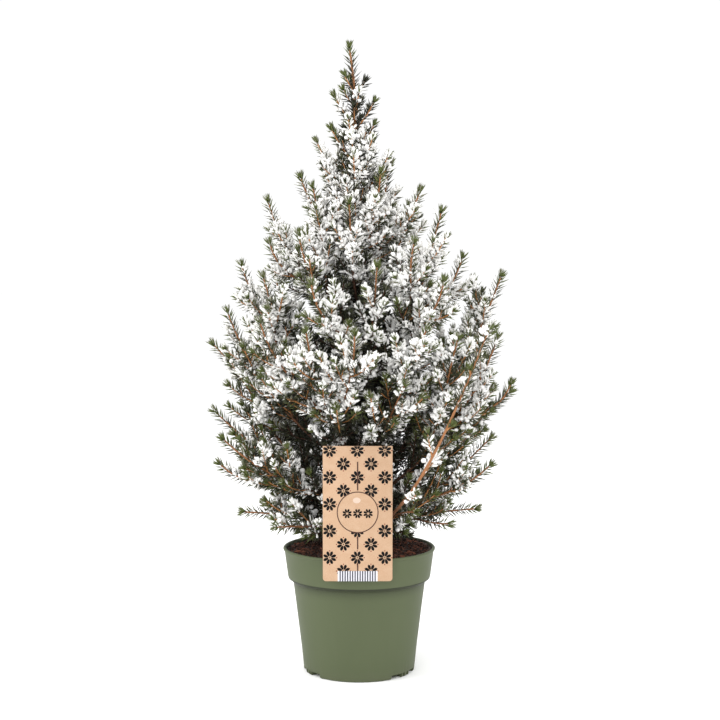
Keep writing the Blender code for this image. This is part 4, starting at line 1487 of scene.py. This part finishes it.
    def fork_line(self, fork: Fork, limb: Limb) -> Array:
        """Return the points of a fork from its limb's stem to its furthest tip."""
        line = self.limb_line(limb)
        foot = round((len(line) - 1) * fork.at)
        along = unit(line[foot + 1] - line[foot])
        return evenly(self.spire_line(line[foot], along, limb.tier, fork), self.station)

    def enter(self, mass: str, line: Array, radii: Pair) -> None:
        """Enter a line that thins from its foot to its tip into the crown's space."""
        stations = evenly(line, self.station)
        end = self.filled + len(stations)
        self.points[self.filled:end] = stations
        self.radii[self.filled:end] = np.linspace(*radii, len(stations))
        self.owners[self.filled:end] = self.masses.setdefault(mass, len(self.masses))
        self.filled = end

    def free_of_pot(self, at: Array, margin: float) -> Array:
        """Tell which points are clear of the pot, the compost and the label."""
        beside = np.hypot(at[:, 0], at[:, 1]) > self.pot.lip_radius + margin
        above = (at[:, 2] > self.pot.height + margin) | beside
        beside = (np.abs(at[:, 0] - self.label.x) > self.label.width / 2 + margin) | (
            at[:, 2] > self.label.top_z + margin)
        before = np.abs(at[:, 1] + self.pot.lip_radius) > 2 * self.label.hook_thickness + margin
        return above & (beside | before)

    def room(self, mass: str, line: Array, clearance: float, from_own: bool) -> bool:
        """Tell whether a line keeps clear of what has grown.

        Args:
            mass: The mass that it would belong to.
            line: Its points, without those sunk in its stem.
            clearance: The least distance.
            from_own: Whether its own mass counts as well.

        Returns:
            Whether it has room.
        """
        stations = evenly(line, self.room_step)
        if not self.free_of_pot(stations, clearance).all():
            return False
        others = slice(0, self.filled)
        away = np.linalg.norm(self.points[None, others] - stations[:, None], axis=2)
        away -= self.radii[None, others]
        if not from_own:
            away = away[:, self.owners[others] != self.masses[mass]]
        return bool((away > clearance).all())

    def keep(self, shoot: Shoot, sunk: int, clearance: float, from_own: bool = True) -> list[Shoot]:
        """Enter a shoot if it has room.

        Args:
            shoot: The shoot.
            sunk: How many of its first points are in its stem.
            clearance: The least distance.
            from_own: Whether its own mass counts as well.

        Returns:
            The shoot, or nothing.
        """
        if not self.room(shoot.mass, shoot.line[sunk:], clearance, from_own):
            return []
        self.enter(shoot.mass, shoot.line, shoot.radii)
        return [shoot]

    def bent_line(self, foot: Array, direction: Array, length: float, count: int) -> Array:
        """Return a short line that leaves in one direction and turns upwards."""
        ending = unit(direction + UP * self.shoot_rise)
        tip = foot + unit(direction + ending) * length
        return bezier(foot, foot + direction * length / 3, tip - ending * length / 3, tip, count)

    def within_reach(self, foot: Array, direction: Array, length: float, count: int) -> Array:
        """Return a bent line, shortened until its tip is inside the crown's outline."""
        line = self.bent_line(foot, direction, length, count)
        for _ in range(self.shortenings):
            limit = float(self.reach(line[-1][2])) * self.shoot_reach_share - self.tip_needle
            if math.hypot(line[-1][0], line[-1][1]) < limit:
                break
            length *= self.shortening
            line = self.bent_line(foot, direction, length, count)
        return line

    @staticmethod
    def side_direction(along: Array, roll: float, angle: float) -> Array:
        """Return the direction at an angle to a stem, turned about it."""
        axis = Vector(along)
        across = axis.orthogonal().normalized()
        across.rotate(Matrix.Rotation(roll, 3, axis))
        direction = axis * math.cos(angle) + across * math.sin(angle)
        return unit(np.array((direction.x, direction.y, max(direction.z, Crown.least_rise))))

    def coarse_shoots(self, stem: Shoot, scale: float, dice: random.Random) -> list[Shoot]:
        """Return shoots round a stem, a golden angle apart and shorter towards its tip."""
        whole = line_length(stem.line)
        stations = evenly(stem.line, self.shoot_spacing)
        made = []
        roll = dice.uniform(0.0, math.tau)
        for index in range(len(stations) - 1):
            share = index / (len(stations) - 1)
            if whole * (1.0 - share) < self.young_tip:
                break
            along = unit(stations[index + 1] - stations[index])
            roll += math.radians(GOLDEN_ANGLE + dice.uniform(-self.roll_jitter, self.roll_jitter))
            angle = math.radians(self.shoot_angle + dice.uniform(-self.angle_jitter, self.angle_jitter))
            length = self.shoot_length * scale * (1.0 - self.shoot_taper * share)
            length *= dice.uniform(1.0 - self.length_jitter, 1.0 + self.length_jitter)
            foot = stations[index] + (stations[index + 1] - stations[index]) * self.shoot_foot
            direction = self.side_direction(along, roll, angle)
            line = self.within_reach(foot, direction, length, self.shoot_points)
            made.append(Shoot(stem.mass, line, self.shoot_radii, roll, 1, self.shoot_bare_foot))
        return made

    def fine_shoots(self, stem: Shoot, spacing: float, size: float, growth: Pair, span: Pair, order: int,
                    dice: random.Random) -> list[Shoot]:
        """Return the finer shoots between the coarse ones, by the same rule.

        Args:
            stem: The stem or shoot that carries them.
            spacing: The distance between them along it.
            size: Their common length.
            growth: A shoot's share of it at the stem's foot, and how much that grows to its tip.
            span: The first and last place.
            order: Their order.
            dice: The random source.

        Returns:
            The shoots, before any test for room.
        """
        stations = evenly(stem.line, spacing)
        made = []
        roll = stem.roll + dice.uniform(0.0, math.tau)
        for index in range(len(stations) - 1):
            share = index / (len(stations) - 1)
            roll += math.radians(GOLDEN_ANGLE + dice.uniform(-self.roll_jitter, self.roll_jitter))
            length = size * (growth[0] + growth[1] * share) * dice.uniform(*self.fine_jitter)
            angle = math.radians(self.shoot_angle + dice.uniform(-self.angle_jitter, self.angle_jitter))
            if span[0] <= share <= span[1] and length >= self.least_twig:
                along = unit(stations[index + 1] - stations[index])
                direction = self.side_direction(along, roll, angle)
                line = self.within_reach(stations[index], direction, length, self.fine_points)
                made.append(Shoot(stem.mass, line, self.fine_radii, roll, order, self.fine_bare_foot))
        return made

    @staticmethod
    def limb_names() -> dict[str, Limb]:
        """Return every limb by its name, counted within its tier."""
        return {f"{tier.name.lower()}_{number:02d}": Limb(tier.value, *sizes)
                for tier, rows in LIMBS.items() for number, sizes in enumerate(rows, 1)}

    def stems(self) -> tuple[dict[str, Array], list[tuple[Shoot, float]]]:
        """Lay out every limb and fork.

        Returns:
            The boughs' lines by their limbs' names, and each stem with the scale of its shoots.
        """
        heights = np.linspace(self.soil_z + GAP, self.trunk_top_z, self.axis_points)
        for low, high in zip(heights, heights[1:]):
            self.enter("trunk", np.array([self.trunk_axis(low), self.trunk_axis(high)]),
                       (self.trunk_radius(low), self.trunk_radius(high)))
        boughs = {}
        stems = []
        named = self.limb_names()
        stem_radii = (self.bough_end_radius, self.stem_tip_radius)
        for name, limb in named.items():
            line = self.limb_line(limb)
            if limb.tier.bare:
                cut = round(len(line) * self.bare_share)
                boughs[name] = line[:cut + 1]
                self.enter("bough_" + name, line[1:cut], (self.bough_foot_radius, self.bough_end_radius))
                line = line[cut:]
            stem = Shoot(name, line, stem_radii, math.radians(limb.azimuth), 0)
            stems.append((stem, limb.tier.shoots))
            self.enter(name, line[1:], stem_radii)
        for fork in FORKS:
            limb = named[fork.limb]
            line = self.fork_line(fork, limb)
            radii = (self.fork_radius, self.stem_tip_radius)
            stem = Shoot(fork.limb, line, radii, math.radians(fork.azimuth), 0, self.fork_bare_foot)
            stems.append((stem, limb.tier.shoots))
            self.enter(fork.limb, line, radii)
        return boughs, stems

    def inner_shoots(self, boughs: dict[str, Array]) -> list[Shoot]:
        """Return the fine, snowless shoots round the boughs, which fill the crown beside the trunk."""
        made = []
        for number, (name, line) in enumerate(boughs.items()):
            bough = Shoot(name, line, (self.bough_foot_radius, self.bough_end_radius), 0.0, 0)
            dice = random.Random(SEED + Draw.INNER + number)
            sag = self.skirt_sag if name.startswith(TierName.SKIRT.name.lower()) else 0.0
            tried = self.fine_shoots(bough, self.inner_spacing, self.inner_length, self.inner_growth,
                                     self.inner_span, 2, dice)
            for shoot in tried:
                shoot.line[:, 2] -= sag * dice.uniform(0.0, 1.0) * np.linspace(0.0, 1.0, len(shoot.line)) ** 2
                made += self.keep(shoot, 3, self.fine_clearance, False)
        return made

    def trunk_shoots(self) -> list[Shoot]:
        """Return the short shoots that stand on the trunk itself between its limbs."""
        heights = np.linspace(*self.trunk_shoots_z, self.axis_points)
        line = np.array([self.trunk_axis(height) for height in heights])
        stem = Shoot("trunk", line, self.shoot_radii, 0.0, 0)
        dice = random.Random(SEED + Draw.TRUNK)
        made = []
        tried = self.fine_shoots(stem, self.trunk_shoot_spacing, self.trunk_shoot, self.trunk_growth,
                                 (0.0, 1.0), 1, dice)
        for shoot in tried:
            made += self.keep(shoot, 3, self.fine_clearance)
        for azimuth, foot_z, length in FOOT_SHOOTS:
            reach = np.linspace(0.0, length, self.shoot_points)[:, None]
            line = self.trunk_axis(foot_z) + heading(azimuth, self.foot_lift) * reach
            shoot = Shoot("trunk", line, self.shoot_radii, math.radians(azimuth), 1, self.foot_bare_foot)
            made += self.keep(shoot, 3, self.foot_clearance)
        return made

    def sweeping_bough(self) -> Shoot:
        """Return the long bough that sweeps bare across the front of the crown to its right edge."""
        line = bezier(*(np.array(point) for point in SWEEPING_BOUGH), self.leader_points)
        return Shoot("sweep", line, self.sweep_radii, 0.0, 0, self.sweep_bare)

    def leader(self) -> tuple[Shoot, list[Shoot]]:
        """Return the leader's stem and the shoots round it."""
        heights = np.linspace(self.leader_bottom_z, self.trunk_top_z, self.leader_points)
        line = np.array([self.trunk_axis(height) for height in heights])
        stem = Shoot("leader", line, (self.trunk_radius(heights[0]), self.trunk_radius(heights[-1])), 0.0, 0)
        made = []
        for azimuth, foot_z, length in LEADER_SHOOTS:
            direction = heading(azimuth, self.leader_lift)
            shoot = self.bent_line(self.trunk_axis(foot_z), direction, length, self.shoot_points)
            turn = math.radians(azimuth)
            made.append(Shoot("leader", shoot, self.shoot_radii, turn, 1, self.shoot_bare_foot))
        return stem, made

    def grow(self) -> tuple[list[Array], list[Shoot]]:
        """Grow the plant.

        Returns:
            The bare boughs' lines, and every stem, shoot and twig that carries needles.
        """
        boughs, stems = self.stems()
        grown = [stem for stem, _ in stems]
        firsts: list[Shoot] = []
        leader_stem, leader_shoots = self.leader()
        grown.append(leader_stem)
        self.enter("leader", leader_stem.line, leader_stem.radii)
        for shoot in leader_shoots:
            firsts += self.keep(shoot, 4, self.twig_clearance, False)
        sweep = self.sweeping_bough()
        grown.append(sweep)
        self.enter(sweep.mass, sweep.line, sweep.radii)
        for number, (stem, scale) in enumerate(stems + [(sweep, self.sweep_scale)]):
            for shoot in self.coarse_shoots(stem, scale, random.Random(SEED + number)):
                firsts += self.keep(shoot, 2, self.twig_clearance, False)
        for number, (stem, scale) in enumerate(stems + [(leader_stem, self.leader_scale)]):
            dice = random.Random(SEED + Draw.FINE + number)
            last = 1.0 - self.young_tip / line_length(stem.line)
            size = self.shoot_length * (scale * self.fine_share)
            tried = self.fine_shoots(stem, self.fine_spacing, size, (1.0, -self.shoot_taper),
                                     (self.fine_from, last), 1, dice)
            for shoot in tried:
                firsts += self.keep(shoot, 3, self.fine_clearance)
        firsts += self.trunk_shoots()
        grown += firsts
        grown += self.inner_shoots(boughs)
        for number, parent in enumerate(firsts):
            dice = random.Random(SEED + Draw.TWIGS + number)
            size = line_length(parent.line) * self.twig_share
            tried = self.fine_shoots(parent, self.twig_spacing, size, self.twig_growth, self.twig_span, 2,
                                     dice)
            for twig in tried:
                grown += self.keep(twig, 3, self.fine_clearance * self.twig_room)
        whole = sum(line_length(shoot.line) for shoot in grown)
        LOG.info("crown: %d shoots, %.1f m in all", len(grown), whole)
        return list(boughs.values()), grown


@dataclass
class Snow:
    """Where snow lies in the crown: in clumps, most of them on its middle height and outer half."""

    heights: Row = (0.15, 0.24, 0.29, 0.34, 0.38, 0.42, 0.465, 0.49, 0.52, 0.60)
    shares: Row = (0.28, 0.42, 0.70, 0.98, 1.16, 1.30, 1.26, 1.05, 0.65, 0.12)
    patch_size: float = 0.020
    sharpness: float = 5.0
    cover: float = 0.62
    bareness: float = 0.33
    depth_outs: Row = (0.20, 0.45, 0.70, 0.85, 1.0)
    depth_shares: Row = (0.10, 0.60, 1.0, 0.95, 0.50)
    outer: float = 0.7
    dust_outs: Pair = (0.35, 0.75)
    dust_shares: Pair = (0.2, 1.0)
    least_dust: float = 0.10
    more_dust: float = 0.42
    open_heights: Row = (0.33, 0.42, 0.50, 0.54)
    open_shares: Row = (0.0, 0.78, 0.78, 0.25)
    lee_x: Pair = (-0.130, -0.050)
    lee_share: float = 0.55
    lee_top: float = 0.34

    def amount(self, at: Array, share_out: Array) -> Array:
        """Return how much snow lies at points.

        Args:
            at: The points.
            share_out: Their distance from the axis as a share of the crown's reach.

        Returns:
            A number from 0 to 1 for each.
        """
        band = np.interp(at[:, 2], self.heights, self.shares)
        lee = np.interp(at[:, 0], self.lee_x, (self.lee_share, 1.0))
        band = np.where(at[:, 2] < self.lee_top, band * lee, band)
        depth = np.interp(share_out, self.depth_outs, self.depth_shares)
        depth = np.where(share_out < self.outer, np.maximum(depth, self.open_top(at)), depth)
        patch = np.array([noise.noise(Vector(point) / self.patch_size) for point in at])
        cover = patch + self.cover * band * depth - self.bareness
        return np.clip(0.5 + cover * self.sharpness, 0.0, 1.0)

    def open_top(self, at: Array) -> Array:
        """Return how far snow falls through the crown to its trunk, more towards its top."""
        return np.interp(at[:, 2], self.open_heights, self.open_shares)

    def dust(self, at: Array, share_out: Array) -> Array:
        """Return the share of needles between the clumps that snow has touched, for each point."""
        depth = np.maximum(np.interp(share_out, self.dust_outs, self.dust_shares), self.open_top(at))
        return (self.least_dust + self.more_dust * np.interp(at[:, 2], self.heights, self.shares)) * depth


@dataclass
class Foliage:
    """Needles, shoots and snow on a grown crown."""

    crown: Crown
    snow: Snow
    pitches: Row = (0.00080, 0.00072, 0.00068)
    lengths: Row = (0.0110, 0.0098, 0.0086)
    width: float = 0.00135
    laden_width: float = 0.0026
    frost_width: float = 0.0012
    angle: float = 50.0
    tip_angle: float = 24.0
    tip_span: float = 0.0060
    tuft: int = 18
    sweep: float = 0.14
    green_tip: float = 0.0110
    open_tip: Pair = (0.015, 0.085)
    open_tips: Row = (1.0, 0.38, 0.38)
    shoot_thinning: float = 0.74
    lump_spacing: float = 0.0030
    lump_size: Pair = (0.0018, 0.0042)
    lump_grains: int = 3
    slim_waist: float = 0.4
    fat_waists: tuple[Pair, Pair] = ((0.36, 0.22), (0.5, 0.80))
    turn_jitter: float = 0.25
    angle_jitter: float = 9.0
    length_jitter: Pair = (0.85, 1.12)
    tip_length: float = 0.90
    under: float = -0.2
    margin: float = 0.0004
    laden_facing: Pair = (0.68, 0.60)
    least_laden: float = 0.06
    dusted_facing: Pair = (0.7, 0.5)
    least_dusted: float = 0.1
    rimed_share: float = 0.40
    green_out: float = 0.45
    # Painted shade: how deep inside the crown a bare needle must sit to be dealt the darker green.
    deep_shares: Pair = (0.30, 0.80)
    open_light: float = 0.4
    width_jitter: Pair = (0.85, 1.15)
    tip_width: float = 1.25
    laden_jitter: Pair = (0.7, 1.15)
    laden_length: float = 0.95
    frost_foot: float = 0.22
    frost_lift: float = 0.45
    frost_length: float = 0.72
    lump_steepness: float = 1.5
    lump_threshold: float = 0.5
    stem_lumps: float = 0.45
    lump_margin: float = 0.004
    lump_jitter: Pair = (0.4, 1.0)
    lump_lift: float = 0.8
    grain_jitter: Pair = (0.42, 0.72)
    grain_spread: float = 1.1
    grain_shape: Pair = (0.75, 1.25)
    twig_step: float = 0.0065
    twig_sides: int = 5
    young_out: float = 0.50
    young_z: float = 0.40
    heaps: dict[Tint, Heap] = field(default_factory=lambda: {tint: Heap() for tint in Tint})

    def _needle_shapes(self) -> tuple[Solid, Solid]:
        """Return a slender needle of 6 faces and a snow-laden one of 16, along +Z and 1 long."""
        turns = np.radians((0.0, 120.0, 240.0))
        ring = np.stack((np.cos(turns) * 0.5, np.sin(turns) * 0.5, np.full(3, self.slim_waist)), axis=1)
        slim = np.vstack(((0.0, 0.0, 0.0), ring, (0.0, 0.0, 1.0)))
        slim_faces = np.array([(0, b, a) for a, b in ((1, 2), (2, 3), (3, 1))]
                              + [(4, a, b) for a, b in ((1, 2), (2, 3), (3, 1))])
        turns = np.radians((0.0, 90.0, 180.0, 270.0))
        low, high = (np.stack((np.cos(turns) * radius, np.sin(turns) * radius, np.full(4, height)), axis=1)
                     for radius, height in self.fat_waists)
        fat = np.vstack(((0.0, 0.0, 0.0), low, high, (0.0, 0.0, 1.0)))
        pairs = ((0, 1), (1, 2), (2, 3), (3, 0))
        fat_faces = [(0, 1 + b, 1 + a) for a, b in pairs]
        fat_faces += [(1 + a, 1 + b, 5 + b) for a, b in pairs] + [(1 + a, 5 + b, 5 + a) for a, b in pairs]
        fat_faces += [(9, 5 + a, 5 + b) for a, b in pairs]
        return (slim, slim_faces), (fat, np.array(fat_faces))

    @staticmethod
    def _stand(shape: Solid, feet: Array, along: Array, length: Array, width: Array) -> Solid:
        """Stand copies of a needle at their feet.

        Args:
            shape: The needle's points and triangles, along +Z and 1 long.
            feet: The feet.
            along: Their directions.
            length: Their lengths.
            width: Their widths.

        Returns:
            Points and triangles.
        """
        side = unit(np.cross(along, np.array((0.31, 0.52, 0.79))))
        other = np.cross(along, side)
        turns = np.stack((side * width[:, None], other * width[:, None], along * length[:, None]), axis=2)
        return copies(*shape, turns, feet)

    def _spiral(self, shoot: Shoot, dice: np.random.Generator) -> tuple[Array, ...]:
        """Return the needles of a shoot.

        Args:
            shoot: The shoot.
            dice: The random source.

        Returns:
            Feet, directions, lengths, distances from the tip and how far each one faces up.
        """
        whole = line_length(shoot.line)
        line = evenly(shoot.line, self.pitches[shoot.order])
        from_tip = whole - np.linspace(0.0, whole, len(line))
        tangent, level, up = section_frames(line)
        kept = whole - from_tip > shoot.bare_foot
        line, tangent, level, up, from_tip = (part[kept] for part in (line, tangent, level, up, from_tip))
        tuft = np.full(self.tuft, len(line) - 1)
        pick = np.concatenate((np.arange(len(line)), tuft))
        count = len(pick)
        line, tangent, level, up, from_tip = (part[pick] for part in (line, tangent, level, up, from_tip))
        turn = shoot.roll + np.radians(GOLDEN_ANGLE) * np.arange(count)
        turn += dice.uniform(-self.turn_jitter, self.turn_jitter, count)
        spread = np.interp(from_tip, (0.0, self.tip_span), (self.tip_angle, self.angle))
        spread = np.radians(spread + dice.uniform(-self.angle_jitter, self.angle_jitter, count))
        around = level * np.cos(turn)[:, None] + up * np.sin(turn)[:, None]
        along = tangent * np.cos(spread)[:, None] + around * np.sin(spread)[:, None]
        along = unit(along + UP * self.sweep * (around[:, 2:3] > self.under))
        length = self.lengths[shoot.order] * dice.uniform(*self.length_jitter, count)
        length *= np.interp(from_tip, (0.0, self.tip_span), (self.tip_length, 1.0))
        return line, along, length, from_tip, around[:, 2]

    def _deal(self, shoot: Shoot, seed: int, slim: Solid, fat: Solid) -> None:
        """Grow a shoot's needles and deal them their colours and snow.

        Args:
            shoot: The shoot.
            seed: Seeds its needles.
            slim: The shape of a bare needle.
            fat: The shape of a laden one.
        """
        dice = np.random.default_rng(seed)
        feet, along, length, from_tip, facing_up = self._spiral(shoot, dice)
        tips = feet + along * length[:, None]
        clear = self.crown.free_of_pot(tips, self.margin)
        clear &= self.crown.free_of_pot((feet + tips) / 2, self.margin)
        feet, along, length = feet[clear], along[clear], length[clear]
        from_tip, facing_up = from_tip[clear], facing_up[clear]
        if not len(feet):
            return
        share_out = np.hypot(feet[:, 0], feet[:, 1]) / self.crown.reach(feet[:, 2])
        amount = self.snow.amount(feet, share_out)
        near_tip = np.interp(from_tip, self.open_tip, (1.0, 0.0)) * self.open_tips[shoot.order]
        level, upward = self.laden_facing
        laden_chance = amount * np.clip(level + upward * facing_up, self.least_laden, 1.0) * (1.0 - near_tip)
        roll = dice.uniform(0.0, 1.0, len(feet))
        laden = roll < laden_chance
        dust = self.snow.dust(feet, share_out)
        level, upward = self.dusted_facing
        dust *= np.clip(level + upward * facing_up, self.least_dusted, 1.0)
        frosted = ~laden & (dice.uniform(0.0, 1.0, len(feet)) < dust)
        rimed = frosted & (dice.uniform(0.0, 1.0, len(feet)) < self.rimed_share)
        bare = ~laden & ~rimed
        tip = bare & (from_tip < self.green_tip) & (shoot.order < 2) & (share_out > self.green_out)
        # Painted shade: bare needles deep in the crown get the darker green, and fewer do where the open top
        # lets light in.
        deep = share_out + self.open_light * self.snow.open_top(feet)
        dark = bare & ~tip & (deep < dice.uniform(*self.deep_shares, len(feet)))
        green = bare & ~tip & ~dark
        width = self.width * dice.uniform(*self.width_jitter, len(feet))
        width *= np.where(from_tip < self.tip_span, self.tip_width, 1.0)
        for tint, wanted in ((Tint.TIP, tip), (Tint.GREEN, green), (Tint.DARK, dark), (Tint.RIMED, rimed)):
            if wanted.any():
                placed = (feet[wanted], along[wanted], length[wanted], width[wanted])
                self.heaps[tint].add(*self._stand(slim, *placed))
        if laden.any():
            wide = self.laden_width * dice.uniform(*self.laden_jitter, int(laden.sum()))
            placed = (feet[laden], along[laden], length[laden] * self.laden_length, wide)
            self.heaps[Tint.LADEN].add(*self._stand(fat, *placed))
        dusted = frosted & ~rimed
        if dusted.any():
            raised = feet[dusted] + along[dusted] * length[dusted][:, None] * self.frost_foot
            raised += UP * self.width * self.frost_lift
            wide = np.full(int(dusted.sum()), self.frost_width)
            placed = (raised, along[dusted], length[dusted] * self.frost_length, wide)
            self.heaps[Tint.FROST].add(*self._stand(slim, *placed))

    def _lumps(self, shoot: Shoot, seed: int, ball: Solid) -> None:
        """Lay lumps of snow along a shoot's upper side, where there is much.

        Args:
            shoot: The shoot.
            seed: Seeds the lumps.
            ball: The points and triangles of a ball.
        """
        dice = np.random.default_rng(seed)
        line = evenly(shoot.line, self.lump_spacing)[1:]
        if len(line) < 2:
            return
        up = section_frames(line)[2]
        share_out = np.hypot(line[:, 0], line[:, 1]) / self.crown.reach(line[:, 2])
        amount = self.snow.amount(line, share_out)
        chance = np.clip(amount * self.lump_steepness - self.lump_threshold, 0.0, 1.0)
        chance *= self.stem_lumps if shoot.order == 0 else 1.0
        kept = (dice.uniform(0.0, 1.0, len(line)) < chance) & self.crown.free_of_pot(line, self.lump_margin)
        kept &= np.arange(1, len(line) + 1) * self.lump_spacing > shoot.bare_foot
        if not kept.any():
            return
        line, up, amount = line[kept], up[kept], amount[kept]
        least, most = self.lump_size
        size = least + (most - least) * amount * dice.uniform(*self.lump_jitter, len(line))
        places = line + up * size[:, None] * self.lump_lift
        count = len(line) * self.lump_grains
        size = np.repeat(size, self.lump_grains) * dice.uniform(*self.grain_jitter, count)
        strewn = dice.normal(0.0, 1.0, (count, 3)) * size[:, None] * self.grain_spread
        places = np.repeat(places, self.lump_grains, axis=0) + strewn
        turns = random_turns(count, dice) * size[:, None, None]
        turns *= dice.uniform(*self.grain_shape, (count, 1, 3))
        self.heaps[Tint.SNOW].add(*copies(*ball, turns, places))

    def _twigs(self, shoots: list[Shoot]) -> None:
        """Make the shoots and twigs as thin five-sided rods with pointed ends."""
        for shoot in shoots:
            if shoot.order == 0:
                continue
            line = evenly(shoot.line, self.twig_step)
            middle = line[len(line) // 2]
            out = math.hypot(middle[0], middle[1]) / float(self.crown.reach(middle[2]))
            young = out > self.young_out or middle[2] > self.young_z
            radii = np.linspace(*shoot.radii, len(line)) * self.shoot_thinning
            self.heaps[Tint.SHOOT_YOUNG if young else Tint.SHOOT_OLD].add(*rod(line, radii, self.twig_sides))

    def build(self, shoots: list[Shoot], masses: list[str]) -> None:
        """Make and dress all the foliage.

        Args:
            shoots: Every stem, shoot and twig.
            masses: The model's nodes that the foliage stands for.
        """
        slim, fat = self._needle_shapes()
        ball = small_ball()
        for number, shoot in enumerate(shoots):
            self._deal(shoot, SEED + Draw.NEEDLES + number, slim, fat)
            self._lumps(shoot, SEED + Draw.SNOW + number, ball)
        self._twigs(shoots)
        for tint, heap in self.heaps.items():
            finish = tint.value.make()
            for item in heap.pour(tint.value.name):
                dress(item, finish, masses)


def rod(line: Array, radii: Array, sides: int) -> Solid:
    """Return a closed rod along a line.

    Args:
        line: Its centre's points.
        radii: Its radius at each.
        sides: How many sides it has.

    Returns:
        Points and triangles.
    """
    tangent, level, up = section_frames(line)
    turns = np.arange(sides) * math.tau / sides
    around = level[:, None, :] * np.cos(turns)[None, :, None] + up[:, None, :] * np.sin(turns)[None, :, None]
    rings = line[:, None, :] + around * np.asarray(radii).reshape(len(line), -1)[:, :, None]
    ends = np.array((line[0], line[-1] + tangent[-1] * float(np.mean(radii[-1]))))
    points = np.vstack((rings.reshape(-1, 3), ends))
    faces = []
    foot, tip = len(points) - 2, len(points) - 1
    near = np.arange(sides)
    after = (near + 1) % sides
    for ring in range(len(line) - 1):
        low, high = ring * sides, (ring + 1) * sides
        faces.append(np.stack((low + near, high + after, low + after), axis=1))
        faces.append(np.stack((low + near, high + near, high + after), axis=1))
    top = (len(line) - 1) * sides
    faces.append(np.stack((near, after, np.full(sides, foot)), axis=1))
    faces.append(np.stack((top + after, top + near, np.full(sides, tip)), axis=1))
    return points, np.vstack(faces)


@dataclass
class Wood:
    """The trunk, the bare boughs and the stems through the masses, with their bark's relief."""

    crown: Crown
    step: float = 0.0016
    trunk_sides: int = 22
    limb_sides: int = 9
    scale_height: float = 0.09
    ridge_height: float = 0.07
    ridge_grain: Triple = (1.6, 90.0, 40.0)
    scale_grain: Triple = (2.2, 330.0, 200.0)
    collar: float = 0.45
    collar_length: float = 0.008
    trunk_sunk: float = 0.002
    tip_thinning: float = 0.82

    def _bark_rod(self, line: Array, radii: Array, sides: int) -> Solid:
        """Return a rod whose surface has plates and ridges of bark.

        Args:
            line: Its centre's points.
            radii: Its radius at each.
            sides: How many sides it has.

        Returns:
            Points and triangles.
        """
        turns = np.arange(sides) * math.tau / sides
        rough = np.empty((len(line), sides))
        round_ridge, up_ridge, out_ridge = self.ridge_grain
        round_scale, up_scale, out_scale = self.scale_grain
        for row, (centre, radius) in enumerate(zip(line, radii)):
            for column, turn in enumerate(turns):
                at = Vector((math.cos(turn) * round_ridge, math.sin(turn) * round_ridge,
                             centre[2] * up_ridge + centre[0] * out_ridge))
                scales = noise.cell(Vector((turn * round_scale, centre[2] * up_scale, centre[0] * out_scale)))
                ridges = self.ridge_height * noise.noise(at)
                rough[row, column] = 1.0 + ridges + self.scale_height * (scales - 0.5)
        return rod(line, rough * radii[:, None], sides)

    def build(self, boughs: list[Array], shoots: list[Shoot], replaced: list[str]) -> None:
        """Make and dress the wood.

        Args:
            boughs: The bare boughs' lines.
            shoots: The grown shoots, of which those of order 0 are stems.
            replaced: The model's nodes of the boughs.
        """
        crown = self.crown
        finish = Bark().make()
        heights = np.arange(crown.soil_z - self.trunk_sunk, crown.trunk_top_z, self.step)
        line = np.array([crown.trunk_axis(height) for height in heights])
        radii = np.array([crown.trunk_radius(height) for height in heights])
        trunk = mesh_piece("bark_trunk", *self._bark_rod(line, radii, self.trunk_sides))
        dress(trunk, finish, ["trunk"])
        heap = Heap()
        for bough in boughs:
            stations = evenly(bough, self.step)
            thinning = np.linspace(crown.bough_foot_radius, crown.bough_end_radius, len(stations))
            along = np.linspace(0.0, line_length(bough), len(stations))
            collar = 1.0 + self.collar * np.exp(-along / self.collar_length)
            heap.add(*self._bark_rod(stations, thinning * collar, self.limb_sides))
        for shoot in shoots:
            if shoot.order == 0 and shoot.mass != "leader":
                stations = evenly(shoot.line, self.step)
                radii = np.linspace(shoot.radii[0], shoot.radii[1] * self.tip_thinning, len(stations))
                heap.add(*self._bark_rod(stations, radii, self.limb_sides))
        for item in heap.pour("bark_limbs"):
            dress(item, finish, replaced)


def main() -> None:
    """Build every piece in order."""
    logging.basicConfig(level=logging.INFO, format="%(name)s: %(message)s")
    Studio().build()
    pot = Pot()
    label = Label()
    pot.build()
    Compost(pot).build()
    label.build(pot)
    crown = Crown(pot, label)
    boughs, shoots = crown.grow()
    nodes = sorted(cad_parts)
    Wood(crown).build(boughs, shoots, [name for name in nodes if name.startswith("bough_")])
    Foliage(crown, Snow()).build(shoots, [name for name in nodes if name.startswith("needles_")])


if __name__ == "__main__":
    main()
